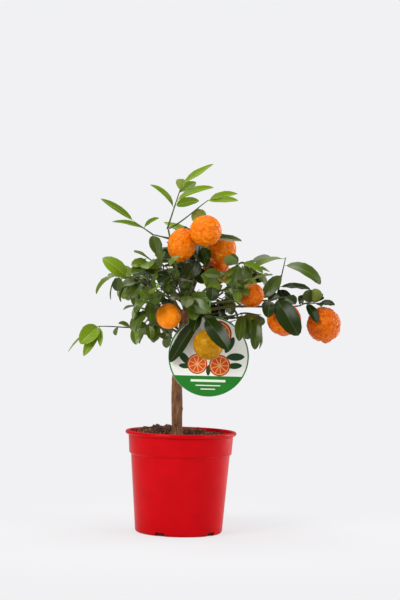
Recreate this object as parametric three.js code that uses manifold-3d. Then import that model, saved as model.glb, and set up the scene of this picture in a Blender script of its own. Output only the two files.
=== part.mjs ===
// A small lime tree with orange fruit, in a red nursery pot, with a round plant label.
// Millimetres, +Z up. The origin is the middle of the pot's flat underside and the front faces -Y.

import * as THREE from "three";
import { mergeVertices } from "three/addons/utils/BufferGeometryUtils.js";
import Module from "manifold-3d";

const wasm = await Module();
wasm.setup();

const GAP = 0.3; // left between pieces that touch
const SEAM = 0.4; // left between the end of a limb and the stem that carries on from it

// Pot: a moulded nursery pot, 200 mm across its rim
const POT = {
  rimRadius: 100,
  height: 182,
  rimHeight: 7,
  rimWidth: 7.2,
  collarTop: 94.3,
  collarFoot: 92.2,
  collarHeight: 33,
  stepHeight: 2,
  bodyTop: 89,
  footRadius: 78.5,
  cornerRadius: 5,
  wall: 1.4,
  floor: 2,
  segments: 40,
};
const NOTCH = { count: 5, firstAngle: -114.5, width: 18, height: 5, depth: 13 };

// Soil: nearly fills the pot, with lumps, higher at the back left
const SOIL = { level: 168, rings: 4, segments: 40, lump: 3.2, rise: 7, riseAngle: 140, seed: 11 };
const SOIL_FLAT = 26; // flat round the trunk out to this radius

// Trunk: centre line and radius from the soil to the fork
const TRUNK = [
  { z: 168 + GAP, x: -7.0, radius: 12.5 },
  { z: 178, x: -7.2, radius: 10.4 },
  { z: 205, x: -8.2, radius: 9.7 },
  { z: 270, x: -9.5, radius: 9.5 },
  { z: 330, x: -5.5, radius: 9.2 },
  { z: 375, x: 0.5, radius: 8.8 },
  { z: 396, x: 3.0, radius: 8.2 },
  { z: 406, x: 4.0, radius: 5.0 },
];
const ROOT_LOBES = { count: 5, depth: 0.12, below: 182 };
// Scars of cut twigs on the trunk: height, azimuth and radius
const SCARS = [
  { z: 221.6, azimuth: -8, radius: 3.0 },
  { z: 194.8, azimuth: -98, radius: 3.4 },
  { z: 260.4, azimuth: -76, radius: 2.8 },
];

// Boughs: one tapering limb each, from the height on the trunk or the share of the bough
// given by "at" to the tip. "bow" is how far the limb rises above the straight line.
const BOUGHS = {
  leader: { parent: "trunk", at: 401, tip: [-33, 14, 545], bow: -4, radii: [3.2, 1.6] },
  left_high: { parent: "leader", at: 0.88, tip: [-60, 8, 534], bow: 0, radii: [1.6, 1.2] },
  top: { parent: "trunk", at: 402, tip: [16, 14, 456], bow: 2, radii: [2.9, 1.7] },
  right_up: { parent: "trunk", at: 396, tip: [95, -6, 484], bow: 8, radii: [2.8, 1.5] },
  right_mid: { parent: "trunk", at: 391, tip: [166, 24, 423], bow: 12, radii: [2.6, 1.5] },
  right_low: { parent: "trunk", at: 383, tip: [207, 8, 412], bow: 13, radii: [2.9, 1.5] },
  right_front: { parent: "right_low", at: 0.68, tip: [149, -46, 418], bow: 5, radii: [1.9, 1.3] },
  right_under: { parent: "trunk", at: 360, tip: [100, -14, 395], bow: 10, radii: [2.5, 1.4] },
  left_mid: { parent: "trunk", at: 384, tip: [-62, -10, 443], bow: 10, radii: [2.8, 1.5] },
  left_up: { parent: "trunk", at: 398, tip: [-30, -4, 451], bow: 2, radii: [2.6, 1.5] },
  left_low: { parent: "trunk", at: 350, tip: [-54, 4, 373], bow: 6, radii: [2.5, 1.4] },
  front_right: { parent: "trunk", at: 392, tip: [49, -36, 426], bow: 6, radii: [2.7, 1.5] },
  back_left: { parent: "trunk", at: 380, tip: [-56, 76, 430], bow: 10, radii: [3.6, 1.7] },
  back: { parent: "trunk", at: 394, tip: [0, 78, 466], bow: 10, radii: [3.6, 1.7] },
  back_right: { parent: "trunk", at: 378, tip: [66, 76, 430], bow: 10, radii: [3.6, 1.7] },
  back_low: { parent: "trunk", at: 352, tip: [-30, 58, 374], bow: 6, radii: [2.8, 1.6] },
};

// Masses of foliage: one stem each, from the tip of its bough or from the trunk to "tip".
// The rule adds "twigs" side twigs, the first at "fan" degrees round the stem, each with
// "leaves" leaves about "leaf" mm long. "fresh" is the share of young ones and "droop" how
// much they hang. Shown leaves: share of the stem, tip, width, turn from facing the front
// and arch in degrees.
const MASSES = {
  crown_top: {
    limb: "leader", side: -70, tip: [-10, 4, 626], bow: 0,
    twigs: 0, fan: 0, leaves: 0, leaf: 30, fresh: 1, droop: 0, seed: 3,
    shown: [
      [0.47, [-67, -4, 623], 20, 55, 30],
      [0.85, [-11, -28, 633], 21, 0, 10],
      [0.99, [46, 10, 664], 17, 40, 10],
      [0.6, [48, -2, 621], 18, 45, 50],
      [0.53, [22, -24, 595], 20, 20, 20],
      [0.8, [15, 26, 632], 20, 40, 10],
    ],
  },
  crown_right: {
    limb: "leader", side: 110, tip: [38, -2, 598], bow: -3,
    twigs: 0, fan: 0, leaves: 0, leaf: 30, fresh: 1, droop: 0, seed: 5,
    shown: [
      [0.99, [91, 4, 611], 18, 45, 25],
      [0.97, [92, -12, 598], 17, 35, 14],
      [0.76, [24, 12, 552], 30, 0, 10],
    ],
  },
  crown_left: {
    limb: "left_high", tip: [-94, 4, 556], bow: 0,
    twigs: 0, fan: 0, leaves: 0, leaf: 30, fresh: 1, droop: 0, seed: 4,
    shown: [
      [0.99, [-156, 6, 596], 16, 40, 12],
      [0.45, [-133, -14, 554], 15, 50, 25],
      [0.5, [-49, -12, 563], 15, 50, 30],
      [0.02, [-50, -10, 497], 25, 15, 14],
    ],
  },
  top_fruit: {
    limb: "top", tip: [27, 14, 527], bow: 0,
    twigs: 2, fan: 200, leaves: 3, leaf: 40, fresh: 0.1, droop: 0.3, seed: 8,
    shown: [
      [0.5, [5, -60, 454], 32, 0, 12],
      [0.3, [33, -10, 447], 26, 15, 15],
      [0.98, [100, -26, 525], 18, 50, 30],
      [0.98, [-42, 40, 558], 18, 25, 20],
    ],
  },
  right_up: {
    limb: "right_up", tip: [128, -6, 470], bow: 7,
    twigs: 1, fan: 200, leaves: 2, leaf: 40, fresh: 0.1, droop: 0.4, seed: 9,
    shown: [
      [0.05, [84, -20, 437], 36, 5, 10],
      [0.02, [76, -10, 497], 22, 30, 15],
      [0.1, [140, -12, 469], 18, 50, 35],
      [0.92, [104, -10, 451], 20, 60, 20],
    ],
  },
  right_sprig: {
    limb: "right_mid", tip: [181, 14, 499], bow: 0,
    twigs: 0, fan: 0, leaves: 0, leaf: 46, fresh: 0, droop: 0.5, seed: 12,
    shown: [
      [0.97, [108, 26, 456], 24, 62, 70],
      [0.8, [246, -4, 451], 27, 42, 85],
      [0.6, [142, 8, 425], 26, 8, 25],
      [0.3, [226, 0, 442], 20, 50, 22],
      [0.25, [189, 16, 413], 26, 5, 14],
      [0.15, [154, 0, 419], 22, 25, 20],
    ],
  },
  right_mid: {
    limb: "front_right", side: -40, tip: [116, -44, 454], bow: 4,
    twigs: 1, fan: 330, leaves: 3, leaf: 40, fresh: 0, droop: 0.1, seed: 13,
  },
  right_far: {
    limb: "right_front", tip: [186, -36, 428], bow: 3,
    twigs: 0, fan: 200, leaves: 1, leaf: 40, fresh: 0, droop: 0.6, seed: 15,
    shown: [
      [0.35, [203, -76, 359], 39, 5, 64],
      [0.1, [148, -70, 390], 24, 15, 40],
      [0.8, [197, -62, 415], 24, 25, 20],
    ],
  },
  right_end: {
    limb: "right_low", tip: [243, 4, 418], bow: 3,
    twigs: 1, fan: 80, leaves: 2, leaf: 28, fresh: 0.1, droop: 0.3, seed: 17,
    shown: [
      [0.4, [237, -40, 382], 19, 10, 30],
      [0.7, [237, -30, 443], 22, 20, 20],
      [0.5, [221, -20, 441], 22, 20, 20],
      [0.2, [204, -16, 429], 18, 35, 20],
      [0.95, [246, -34, 413], 13, 25, 20],
    ],
  },
  right_under: {
    limb: "right_under", tip: [138, -24, 394], bow: 2,
    twigs: 1, fan: 250, leaves: 3, leaf: 42, fresh: 0, droop: 0.8, seed: 16,
    shown: [
      [0.85, [128, -28, 332], 22, 0, 10],
      [0.1, [99, -58, 347], 22, 10, 12],
      [0.25, [114, -40, 355], 22, 15, 12],
      [0.6, [119, -60, 385], 20, 20, 25],
    ],
  },
  left_mid: {
    limb: "left_mid", side: 60, tip: [-124, -14, 458], bow: 3,
    twigs: 0, fan: 60, leaves: 0, leaf: 32, fresh: 0.2, droop: 0.7, seed: 21,
    shown: [
      [0.68, [-149, -18, 489], 30, 15, 60],
      [0.99, [-158, -22, 423], 22, 58, 60],
      [0.9, [-121, -6, 430], 22, 15, 12],
      [0.97, [-132, -14, 414], 15, 86, 40],
      [0.5, [-86, 4, 446], 16, 30, 15],
      [0.3, [-68, 10, 443], 15, 30, 15],
    ],
  },
  left_fork: {
    limb: "left_mid", side: -120, tip: [-108, -34, 438], bow: 7,
    twigs: 1, fan: 60, leaves: 2, leaf: 30, fresh: 0.1, droop: 0.7, seed: 20,
    shown: [
      [0.99, [-112, -38, 411], 16, 84, 45],
      [0.85, [-106, -46, 423], 16, 35, 20],
      [0.5, [-86, -42, 403], 20, 20, 20],
      [0.3, [-94, -56, 418], 20, 10, 20],
    ],
  },
  left_up: {
    limb: "left_up", tip: [-58, -14, 480], bow: 0,
    twigs: 4, fan: 180, leaves: 4, leaf: 40, fresh: 0.05, droop: 0.4, seed: 22,
    shown: [
      [0.7, [-71, -34, 468], 26, 25, 20],
      [0.5, [-51, -34, 490], 26, 25, 20],
    ],
  },
  left_low: {
    limb: "left_low", tip: [-153, -8, 366], bow: -5,
    twigs: 0, fan: 100, leaves: 1, leaf: 34, fresh: 0.3, droop: 0.6, seed: 23,
    shown: [
      [0.99, [-185, -18, 334], 34, 10, 60],
      [0.97, [-178, -14, 312], 21, 15, 12],
      [0.99, [-148, -22, 330], 13, 15, 10],
      [0.99, [-208, 8, 318], 12, 84, 30],
      [0.66, [-120, -22, 351], 13, 40, 20],
      [0.42, [-117, -16, 372], 15, 50, 25],
      [0.36, [-84, -18, 335], 18, 10, 12],
      [0.1, [-94, -32, 368], 18, 40, 20],
      [0.08, [-58, -26, 344], 19, 15, 12],
    ],
  },
  left_under: {
    limb: "trunk", at: 336, azimuth: 168, tip: [-66, 26, 386], bow: 6,
    twigs: 3, fan: 0, leaves: 4, leaf: 36, fresh: 0, droop: 0.8, seed: 24,
    shown: [
      [0.35, [-33, 8, 345], 26, 10, 12],
    ],
  },
  front_left: {
    limb: "trunk", at: 374, azimuth: 222, tip: [-74, -50, 424], bow: 4,
    twigs: 3, fan: 300, leaves: 4, leaf: 42, fresh: 0.05, droop: 0.5, seed: 25,
    shown: [
      [0.98, [-89, -62, 380], 15, 30, 25],
      [0.8, [-59, -70, 379], 21, 10, 15],
    ],
  },
  front_low: {
    limb: "trunk", at: 388, azimuth: -62, tip: [39, -60, 387], bow: 9,
    twigs: 1, fan: 180, leaves: 2, leaf: 40, fresh: 0, droop: 0.6, seed: 26,
    shown: [
      [0.72, [-22, -38, 306], 29, 30, 6],
      [0.99, [81, -108, 332], 33, 5, 46],
    ],
  },
  centre: {
    limb: "trunk", at: 398, azimuth: -110, tip: [-7, -52, 417], bow: 10,
    twigs: 4, fan: 90, leaves: 5, leaf: 40, fresh: 0, droop: 0.5, seed: 27,
    shown: [
      [0.98, [48, -78, 397], 29, 15, 20],
      [0.6, [52, -76, 424], 24, 15, 20],
    ],
  },
  centre_up: {
    limb: "trunk", at: 404, azimuth: -130, tip: [-24, -42, 466], bow: 2,
    twigs: 4, fan: 200, leaves: 4, leaf: 38, fresh: 0.05, droop: 0.4, seed: 29,
  },
  centre_right: {
    limb: "front_right", side: 150, tip: [66, -66, 452], bow: 6,
    twigs: 3, fan: 200, leaves: 4, leaf: 40, fresh: 0, droop: 0.5, seed: 28,
    shown: [
      [0.85, [40, -92, 434], 22, 10, 20],
      [0.45, [34, -50, 454], 24, 15, 15],
    ],
  },
  inner_right: {
    limb: "trunk", at: 392, azimuth: 20, tip: [70, 30, 432], bow: 6,
    twigs: 4, fan: 200, leaves: 4, leaf: 44, fresh: 0, droop: 0.6, seed: 41,
  },
  inner_up: {
    limb: "trunk", at: 400, azimuth: 70, tip: [28, 38, 470], bow: 4,
    twigs: 4, fan: 120, leaves: 5, leaf: 42, fresh: 0, droop: 0.5, seed: 43,
  },
  inner_left: {
    limb: "trunk", at: 390, azimuth: 150, tip: [-58, 36, 452], bow: 6,
    twigs: 4, fan: 0, leaves: 5, leaf: 42, fresh: 0, droop: 0.5, seed: 42,
  },
  back_left: {
    limb: "back_left", tip: [-92, 124, 448], bow: 6,
    twigs: 4, fan: 30, leaves: 5, leaf: 42, fresh: 0.2, droop: 0.4, seed: 31,
  },
  back_top: {
    limb: "back", side: 90, tip: [30, 108, 512], bow: 0,
    twigs: 4, fan: 30, leaves: 4, leaf: 42, fresh: 0.2, droop: 0.3, seed: 35,
  },
  back: {
    limb: "back", side: -90, tip: [-8, 150, 474], bow: 6,
    twigs: 4, fan: 60, leaves: 5, leaf: 46, fresh: 0.2, droop: 0.4, seed: 32,
  },
  back_right: {
    limb: "back_right", tip: [106, 122, 456], bow: 6,
    twigs: 4, fan: 10, leaves: 5, leaf: 44, fresh: 0.2, droop: 0.4, seed: 37,
  },
  back_low: {
    limb: "back_low", tip: [-58, 110, 386], bow: 6,
    twigs: 4, fan: 90, leaves: 5, leaf: 42, fresh: 0.1, droop: 0.5, seed: 34,
  },
  back_under: {
    limb: "trunk", at: 346, azimuth: 56, tip: [58, 100, 378], bow: 8,
    twigs: 4, fan: 90, leaves: 5, leaf: 46, fresh: 0.1, droop: 0.6, seed: 36,
  },
};

// Fruits: "lean" is 0 where the stalk enters at the top, 1 where it comes straight from the stem.
const FRUITS = {
  A: { mass: "top_fruit", centre: [-7, -10, 516], width: 51, height: 61, lean: 0.2 },
  B: { mass: "top_fruit", centre: [35, -40, 541], width: 56, height: 56, lean: 1 },
  C: { mass: "top_fruit", centre: [66, 18, 512], width: 50, height: 54, lean: 0.4 },
  D: { mass: "top_fruit", centre: [56, 56, 472], width: 50, height: 52, lean: 0.8 },
  E: { mass: "front_left", centre: [-27, -50, 388], width: 45, height: 45, lean: 0.2 },
  F: { mass: "front_low", centre: [45, -61, 340], width: 54, height: 54, lean: 0.2 },
  G: { mass: "right_mid", centre: [120, -30, 429], width: 44, height: 44, lean: 0.3 },
  H: { mass: "right_far", centre: [179, -26, 387], width: 61, height: 58, lean: 0.3 },
  I: { mass: "right_end", centre: [252, -2, 379], width: 61, height: 63, lean: 0.75 },
  J: { mass: "back_top", centre: [54, 134, 480], width: 46, height: 47, lean: 0.3 },
  K: { mass: "back_right", centre: [120, 112, 428], width: 40, height: 41, lean: 0.3 },
  L: { mass: "back_under", centre: [54, 98, 338], width: 48, height: 50, lean: 0.3 },
};

// Label: a round plate with a neck and an eyelet that hangs on the front right bough
const LABEL = {
  x: 46,
  y: -30,
  z: 318,
  radius: 72,
  thickness: 1.2,
  neckWidth: 9,
  eye: { x: 41.5, z: 421.5, radius: 8, hole: 5 },
};

// Limbs: rings along each one and points round a ring
const LIMB = { steps: 6, sides: 6, trunkSides: 12 };
const SCAR = { sides: 6, rings: 4, sunk: 0.4, width: 0.8, height: 1.3 };
const BOW_PEAK = 6.75; // scales the curve of a bowed line so that it peaks at "bow"

// Stems and twigs. Shares are of the stem's length, angles are degrees and lengths millimetres.
const TWIG = {
  stemSteps: 5,
  steps: 3,
  sides: 3,
  stemRadius: 1.7,
  radius: 1.2,
  tipRadius: 0.8,
  stalkRadius: 1.3,
  heel: 2.5, // a twig or stalk widens from a point inside its stem over this length
  foot: -1, // a stem on the trunk starts this far outside the bark, and is cut clear of it
  turn: 137.5, // from one side twig to the next
  turnVary: 12,
  first: 0.22,
  span: 0.62,
  placeVary: 0.04,
  spread: [42, 60], // between stem and twig
  reach: 18, // shortest reach, to which a share of the stem's length is added
  longShare: 0.46,
  shareLost: 0.24, // that share is less by this much at the stem's tip
  vary: [0.85, 1.15],
  cutBack: 0.7, // a twig that isn't clear is tried again at this share of its length
  lift: 0.35,
};

const LEAF = {
  keel: 1.1, // thickness along the midrib
  root: 0.3, // a leaf starts this far behind the axis of its twig
  middle: 0.43, // the widest place
  first: 0.22,
  span: 0.74,
  offset: 0.4,
  end: 0.999, // the last leaf sits at the twig's tip
  endSpread: 22,
  spread: [46, 68], // between twig and leaf
  lay: [-38, 38], // roll about its own length
  out: 0.5, // how much the upper face leans out from the middle of the crown, against up
  front: 0.7, // and how much towards the front, where the light comes from
  leastLean: 0.3,
  vary: [0.74, 1.12],
  onSideTwig: 0.86, // a leaf there is smaller than one on the stem
  onStem: 2, // leaves that the stem has more than a side twig
  arch: [12, 55],
  droop: [0.4, 1.4],
  youngBase: 0.5, // leaves are young more often towards a twig's tip
  youngTip: 0.6,
  width: 0.63,
  youngWidth: 0.52,
  turn: 144, // from one leaf to the next
  retryTurn: 72,
  tries: 5, // at full size, and as many again at the small size
  small: 0.7,
  off: 0.12, // shares of the first half that lie inside the twig
  nearShare: 0.13, // midribs keep this share of the length between them
};

const SHOWN_WIDTH = 1.12; // as a leaf has straight edges here, it is this much wider than the real one
const FRUIT = { segments: [10, 7], stalkIn: 3, stalkBend: 3 };
const CLEAR = { space: 0.7, limb: 1.2, label: 1.8, fruit: 1.2, fruitSpace: 4 };

const COLOURS = {
  pot: { color: "#c3141b", roughness: 0.35 },
  soil: { color: "#4a3425", roughness: 1 },
  bark: { color: "#77593f", roughness: 0.9 },
  leaf: { color: "#3c6f24", roughness: 0.4 },
  freshLeaf: { color: "#86ab2e", roughness: 0.45 },
  label: { color: "#2f7f3a", roughness: 0.4 },
};

const { degToRad } = THREE.MathUtils;
const vec = (x, y, z) => new THREE.Vector3(x, y, z);
const UP = vec(0, 0, 1);
const FRONT = vec(0, -1, 0);

// Solids

function manifoldOf(geometry) {
  const vertProperties = new Float32Array(geometry.attributes.position.array);
  const triVerts = new Uint32Array(geometry.index.array);
  return new wasm.Manifold(new wasm.Mesh({ numProp: 3, vertProperties, triVerts }));
}

// A closed three.js shape as a solid
function solidOf(geometry) {
  const bare = geometry.clone();
  bare.deleteAttribute("normal");
  bare.deleteAttribute("uv");
  return manifoldOf(mergeVertices(bare, 1e-4));
}

function meshOf(name, solid, colour) {
  const { vertProperties, triVerts } = solid.getMesh();
  const geometry = new THREE.BufferGeometry();
  geometry.setAttribute("position", new THREE.BufferAttribute(vertProperties, 3));
  geometry.setIndex(new THREE.BufferAttribute(triVerts, 1));
  geometry.computeVertexNormals();
  const mesh = new THREE.Mesh(geometry, new THREE.MeshStandardMaterial({ metalness: 0, ...colour }));
  mesh.name = name;
  return mesh;
}

const joined = (solids) => solids.reduce((whole, solid) => whole.add(solid));

// The largest piece of a solid, so that a cut leaves no loose scrap
function mainPiece(solid) {
  return solid.decompose().reduce((a, b) => (b.volume() > a.volume() ? b : a));
}

// A closed skin over rings with the same number of points each. The first and last may be one point.
function skin(rings) {
  const count = rings[1].length;
  const faces = [];
  let low = 0; // first point of the lower ring
  for (let r = 0; r + 1 < rings.length; r++) {
    const high = low + rings[r].length;
    for (let i = 0; i < count; i++) {
      const next = (i + 1) % count;
      if (rings[r].length === 1) faces.push(low, high + next, high + i);
      else if (rings[r + 1].length === 1) faces.push(low + i, low + next, high);
      else faces.push(low + i, low + next, high + next, low + i, high + next, high + i);
    }
    low = high;
  }
  for (let i = 1; i + 1 < count; i++) {
    if (rings[0].length > 1) faces.push(0, i + 1, i);
    if (rings.at(-1).length > 1) faces.push(low, low + i, low + i + 1);
  }
  const geometry = new THREE.BufferGeometry().setFromPoints(rings.flat());
  geometry.setIndex(faces);
  return manifoldOf(geometry);
}

// Lines and directions

function heading(azimuth, rise = 0) {
  const [a, e] = [degToRad(azimuth), degToRad(rise)];
  return vec(Math.cos(a) * Math.cos(e), Math.sin(a) * Math.cos(e), Math.sin(e));
}

// Points from start to end. The line rises by up to "bow" above the straight, a third of the way along.
function arc(start, end, bow, steps) {
  const line = [];
  for (let i = 0; i <= steps; i++) {
    const t = i / steps;
    const point = start.clone().lerp(end, t);
    point.z += BOW_PEAK * bow * t * (1 - t) ** 2;
    line.push(point);
  }
  return line;
}

function along(line, share) {
  const n = line.length - 1;
  const i = Math.min(Math.floor(share * n), n - 1);
  const point = line[i].clone().lerp(line[i + 1], share * n - i);
  const axis = line[i + 1].clone().sub(line[i]).normalize();
  return { point, axis };
}

// Two directions square to an axis, the second as near to up as it gets
function squareTo(axis) {
  const side = axis.clone().cross(UP);
  if (side.length() < 1e-6) side.set(1, 0, 0);
  side.normalize();
  return { side, top: side.clone().cross(axis) };
}

function around(axis, degrees) {
  const { side, top } = squareTo(axis);
  return side.multiplyScalar(Math.cos(degToRad(degrees))).addScaledVector(top, Math.sin(degToRad(degrees)));
}

const turned = (vector, axis, degrees) => vector.clone().applyAxisAngle(axis, degToRad(degrees));

// The normal of a leaf that shows the front its face at 0 degrees and its edge at 90
function facing(direction, face) {
  const front = FRONT.clone().addScaledVector(direction, direction.y).normalize();
  const top = direction.clone().cross(front);
  if (top.z < 0) top.negate();
  const normal = front.multiplyScalar(Math.cos(degToRad(face)));
  normal.addScaledVector(top, Math.sin(degToRad(face)));
  return normal.z > -0.3 ? normal : normal.negate();
}

// A limb or twig with rings of points along a line. A radius of 0 makes a point.
function tube(line, radii, sides) {
  const frame = squareTo(line.at(-1).clone().sub(line[0]).normalize());
  return skin(
    line.map((point, i) => {
      if (radii[i] === 0) return [point];
      const ring = [];
      for (let k = 0; k < sides; k++) {
        const turn = (k / sides) * 2 * Math.PI;
        const out = frame.top.clone().multiplyScalar(Math.cos(turn) * radii[i]);
        ring.push(out.addScaledVector(frame.side, Math.sin(turn) * radii[i]).add(point));
      }
      return ring;
    }),
  );
}

// A twig or stalk that grows out of a thin stem
function sprout(line, radii) {
  const heel = line[0].clone().lerp(line[1], TWIG.heel / line[0].distanceTo(line[1]));
  return tube([line[0], heel, ...line.slice(1)], [0, ...radii], TWIG.sides);
}

function taper(from, to, steps) {
  return Array.from({ length: steps + 1 }, (_, i) => from + ((to - from) * i) / steps);
}

// Draws numbers in a fixed order, so that a seed always gives the same twigs
function dice(seed) {
  let state = (seed * 7919) % 2147483647;
  const draw = (low = 0, high = 1) => {
    state = (state * 16807) % 2147483647;
    return low + ((high - low) * state) / 2147483647;
  };
  draw();
  draw();
  return draw;
}

// Pot and soil

const collarFootZ = POT.height - POT.rimHeight - POT.collarHeight;
const bodyTopZ = collarFootZ - POT.stepHeight;

function pot() {
  const { rimRadius, height, rimHeight, rimWidth, wall, floor, footRadius, cornerRadius } = POT;
  const profile = [[0, 0]];
  for (let i = 0; i <= 3; i++) {
    const turn = (i / 3) * (Math.PI / 2);
    const r = footRadius - cornerRadius + cornerRadius * Math.sin(turn);
    profile.push([r, cornerRadius * (1 - Math.cos(turn))]);
  }
  profile.push([POT.bodyTop, bodyTopZ], [POT.collarFoot, collarFootZ], [POT.collarTop, height - rimHeight]);
  for (let i = 0; i <= 4; i++) {
    const turn = (i / 4 - 0.5) * Math.PI;
    const r = rimRadius - rimHeight / 2 + (rimHeight / 2) * Math.cos(turn);
    profile.push([r, height - rimHeight / 2 + (rimHeight / 2) * Math.sin(turn)]);
  }
  profile.push([rimRadius - rimWidth, height - 1], [POT.collarTop - wall, height - rimHeight]);
  profile.push([POT.collarFoot - wall, collarFootZ], [POT.bodyTop - wall, bodyTopZ]);
  profile.push([footRadius - wall, cornerRadius + 1], [footRadius - cornerRadius, floor], [0, floor]);
  const points = profile.map(([r, z]) => new THREE.Vector2(r, z));
  let solid = solidOf(new THREE.LatheGeometry(points, POT.segments).rotateX(Math.PI / 2));
  for (let i = 0; i < NOTCH.count; i++) {
    const notch = new THREE.BoxGeometry(NOTCH.depth, NOTCH.width, 2 * NOTCH.height);
    notch.translate(footRadius, 0, 0);
    notch.rotateZ(degToRad(NOTCH.firstAngle + (360 * i) / NOTCH.count));
    solid = solid.subtract(solidOf(notch));
  }
  return meshOf("pot", solid, COLOURS.pot);
}

function soil() {
  const inside = POT.wall + SEAM;
  const rings = [
    [POT.footRadius - POT.cornerRadius - SEAM, POT.floor + SEAM],
    [POT.footRadius - inside, POT.cornerRadius + 1.3],
    [POT.bodyTop - inside, bodyTopZ + 0.2],
    [POT.collarFoot - inside, collarFootZ + 0.4],
  ];
  const rimR = POT.collarTop - inside - 0.6;
  const draw = dice(SOIL.seed);
  const spokes = Array.from({ length: SOIL.segments }, (_, k) => heading((360 * k) / SOIL.segments));
  const ringOf = (r, z) => spokes.map((spoke) => spoke.clone().multiplyScalar(r).setZ(z));
  const surface = [];
  for (let i = 0; i <= SOIL.rings; i++) {
    const r = rimR * (1 - i / (SOIL.rings + 1));
    surface.push(
      ringOf(r, SOIL.level).map((p) => {
        const turn = Math.atan2(p.y, p.x) - degToRad(SOIL.riseAngle);
        const bank = (SOIL.rise * (1 + Math.cos(turn)) * r) / (2 * rimR);
        const lump = draw(-SOIL.lump, SOIL.lump);
        const fromTrunk = Math.hypot(p.x - TRUNK[0].x, p.y);
        const ease = THREE.MathUtils.smoothstep(fromTrunk, SOIL_FLAT, 2 * SOIL_FLAT);
        return p.setZ(SOIL.level + (bank + lump) * ease);
      }),
    );
  }
  const solid = skin([...rings.map(([r, z]) => ringOf(r, z)), ...surface, [vec(0, 0, SOIL.level)]]);
  return meshOf("soil", solid, COLOURS.soil);
}

// Trunk and boughs

function trunkAt(z) {
  const i = Math.max(1, TRUNK.findIndex((row) => z <= row.z));
  const [low, high] = [TRUNK[i - 1], TRUNK[i]];
  const t = (z - low.z) / (high.z - low.z);
  const { lerp } = THREE.MathUtils;
  return { point: vec(lerp(low.x, high.x, t), 0, z), radius: lerp(low.radius, high.radius, t) };
}

// Rings round the trunk, "extra" outside its skin
function trunkRings(extra) {
  return TRUNK.map(({ z, x, radius }) => {
    const ring = [];
    for (let k = 0; k < LIMB.trunkSides; k++) {
      const turn = (k / LIMB.trunkSides) * 2 * Math.PI;
      const lobe = z < ROOT_LOBES.below ? ROOT_LOBES.depth * Math.cos(ROOT_LOBES.count * turn) : 0;
      const r = radius * (1 + lobe) + extra;
      ring.push(vec(x + r * Math.cos(turn), r * Math.sin(turn), z));
    }
    return ring;
  });
}

function trunk() {
  const scars = SCARS.map(({ z, azimuth, radius }) => {
    const at = trunkAt(z);
    const place = at.point.addScaledVector(heading(azimuth), at.radius - SCAR.sunk * radius);
    const scar = new THREE.SphereGeometry(radius, SCAR.sides, SCAR.rings).rotateX(Math.PI / 2);
    scar.scale(SCAR.width, SCAR.width, SCAR.height);
    return solidOf(scar.translate(place.x, place.y, place.z));
  });
  return joined([skin(trunkRings(0)), ...scars]);
}

const limbs = {
  trunk: { line: TRUNK.map(({ z, x }) => vec(x, 0, z)), radii: TRUNK.map(({ radius }) => radius) },
};
for (const [name, { parent, at, tip, bow, radii }] of Object.entries(BOUGHS)) {
  const start = parent === "trunk" ? trunkAt(at).point : along(limbs[parent].line, at).point;
  limbs[name] = { line: arc(start, vec(...tip), bow, LIMB.steps), radii: taper(...radii, LIMB.steps) };
}

// Each limb is cut clear of the ones before it. "around" is all of them, a gap thicker.
function limbSolids() {
  const solids = { trunk: trunk() };
  let allThick = skin(trunkRings(GAP / Math.cos(Math.PI / LIMB.trunkSides)));
  for (const name of Object.keys(BOUGHS)) {
    const { line, radii } = limbs[name];
    solids[name] = mainPiece(tube(line, radii, LIMB.sides).subtract(allThick));
    const extra = GAP / Math.cos(Math.PI / LIMB.sides);
    const beyond = along(line, 1).axis.multiplyScalar(GAP).add(line.at(-1));
    const longer = [...line, beyond];
    allThick = allThick.add(tube(longer, [...radii, radii.at(-1)].map((r) => r + extra), LIMB.sides));
  }
  return { solids, allThick };
}

// Distances

function segmentGap(point, a, b) {
  const ab = b.clone().sub(a);
  const share = THREE.MathUtils.clamp(point.clone().sub(a).dot(ab) / ab.lengthSq(), 0, 1);
  return { gap: point.distanceTo(a.clone().addScaledVector(ab, share)), share };
}

function lineGap(point, line) {
  let least = Infinity;
  for (let i = 0; i + 1 < line.length; i++) {
    least = Math.min(least, segmentGap(point, line[i], line[i + 1]).gap);
  }
  return least;
}

function limbGap(point) {
  let least = Infinity;
  for (const { line, radii } of Object.values(limbs)) {
    for (let i = 0; i + 1 < line.length; i++) {
      const { gap, share } = segmentGap(point, line[i], line[i + 1]);
      least = Math.min(least, gap - radii[i] - (radii[i + 1] - radii[i]) * share);
    }
  }
  return least;
}

function fruitGap(point, { centre, width, height }) {
  const from = point.clone().sub(vec(...centre));
  const reach = from.divide(vec(width / 2, width / 2, height / 2)).length();
  return ((reach - 1) * (2 * width + height)) / 6;
}

function labelGap(point) {
  const flat = vec(point.x, 0, point.z);
  const [middle, eye] = [vec(LABEL.x, 0, LABEL.z), vec(LABEL.eye.x, 0, LABEL.eye.z)];
  const disc = flat.distanceTo(middle) - LABEL.radius;
  const neck = segmentGap(flat, middle, eye).gap - LABEL.eye.radius;
  const out = Math.max(0, Math.min(disc, neck));
  return Math.hypot(out, Math.max(0, Math.abs(point.y - LABEL.y) - LABEL.thickness / 2));
}

// Leaves

// Root, middle and tip of a leaf, bending down by "arch" degrees in all
function blade(root, direction, normal, length, width, arch) {
  const side = direction.clone().cross(normal);
  const point = root.clone();
  let last = 0;
  return [0, LEAF.middle, 1].map((share) => {
    const way = turned(direction, side, (-arch * (share + last)) / 2);
    point.addScaledVector(way, (share - last) * length);
    last = share;
    const half = share === LEAF.middle ? width / 2 : 0;
    return { point: point.clone(), half, side, normal: turned(normal, side, -arch * share) };
  });
}

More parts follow.
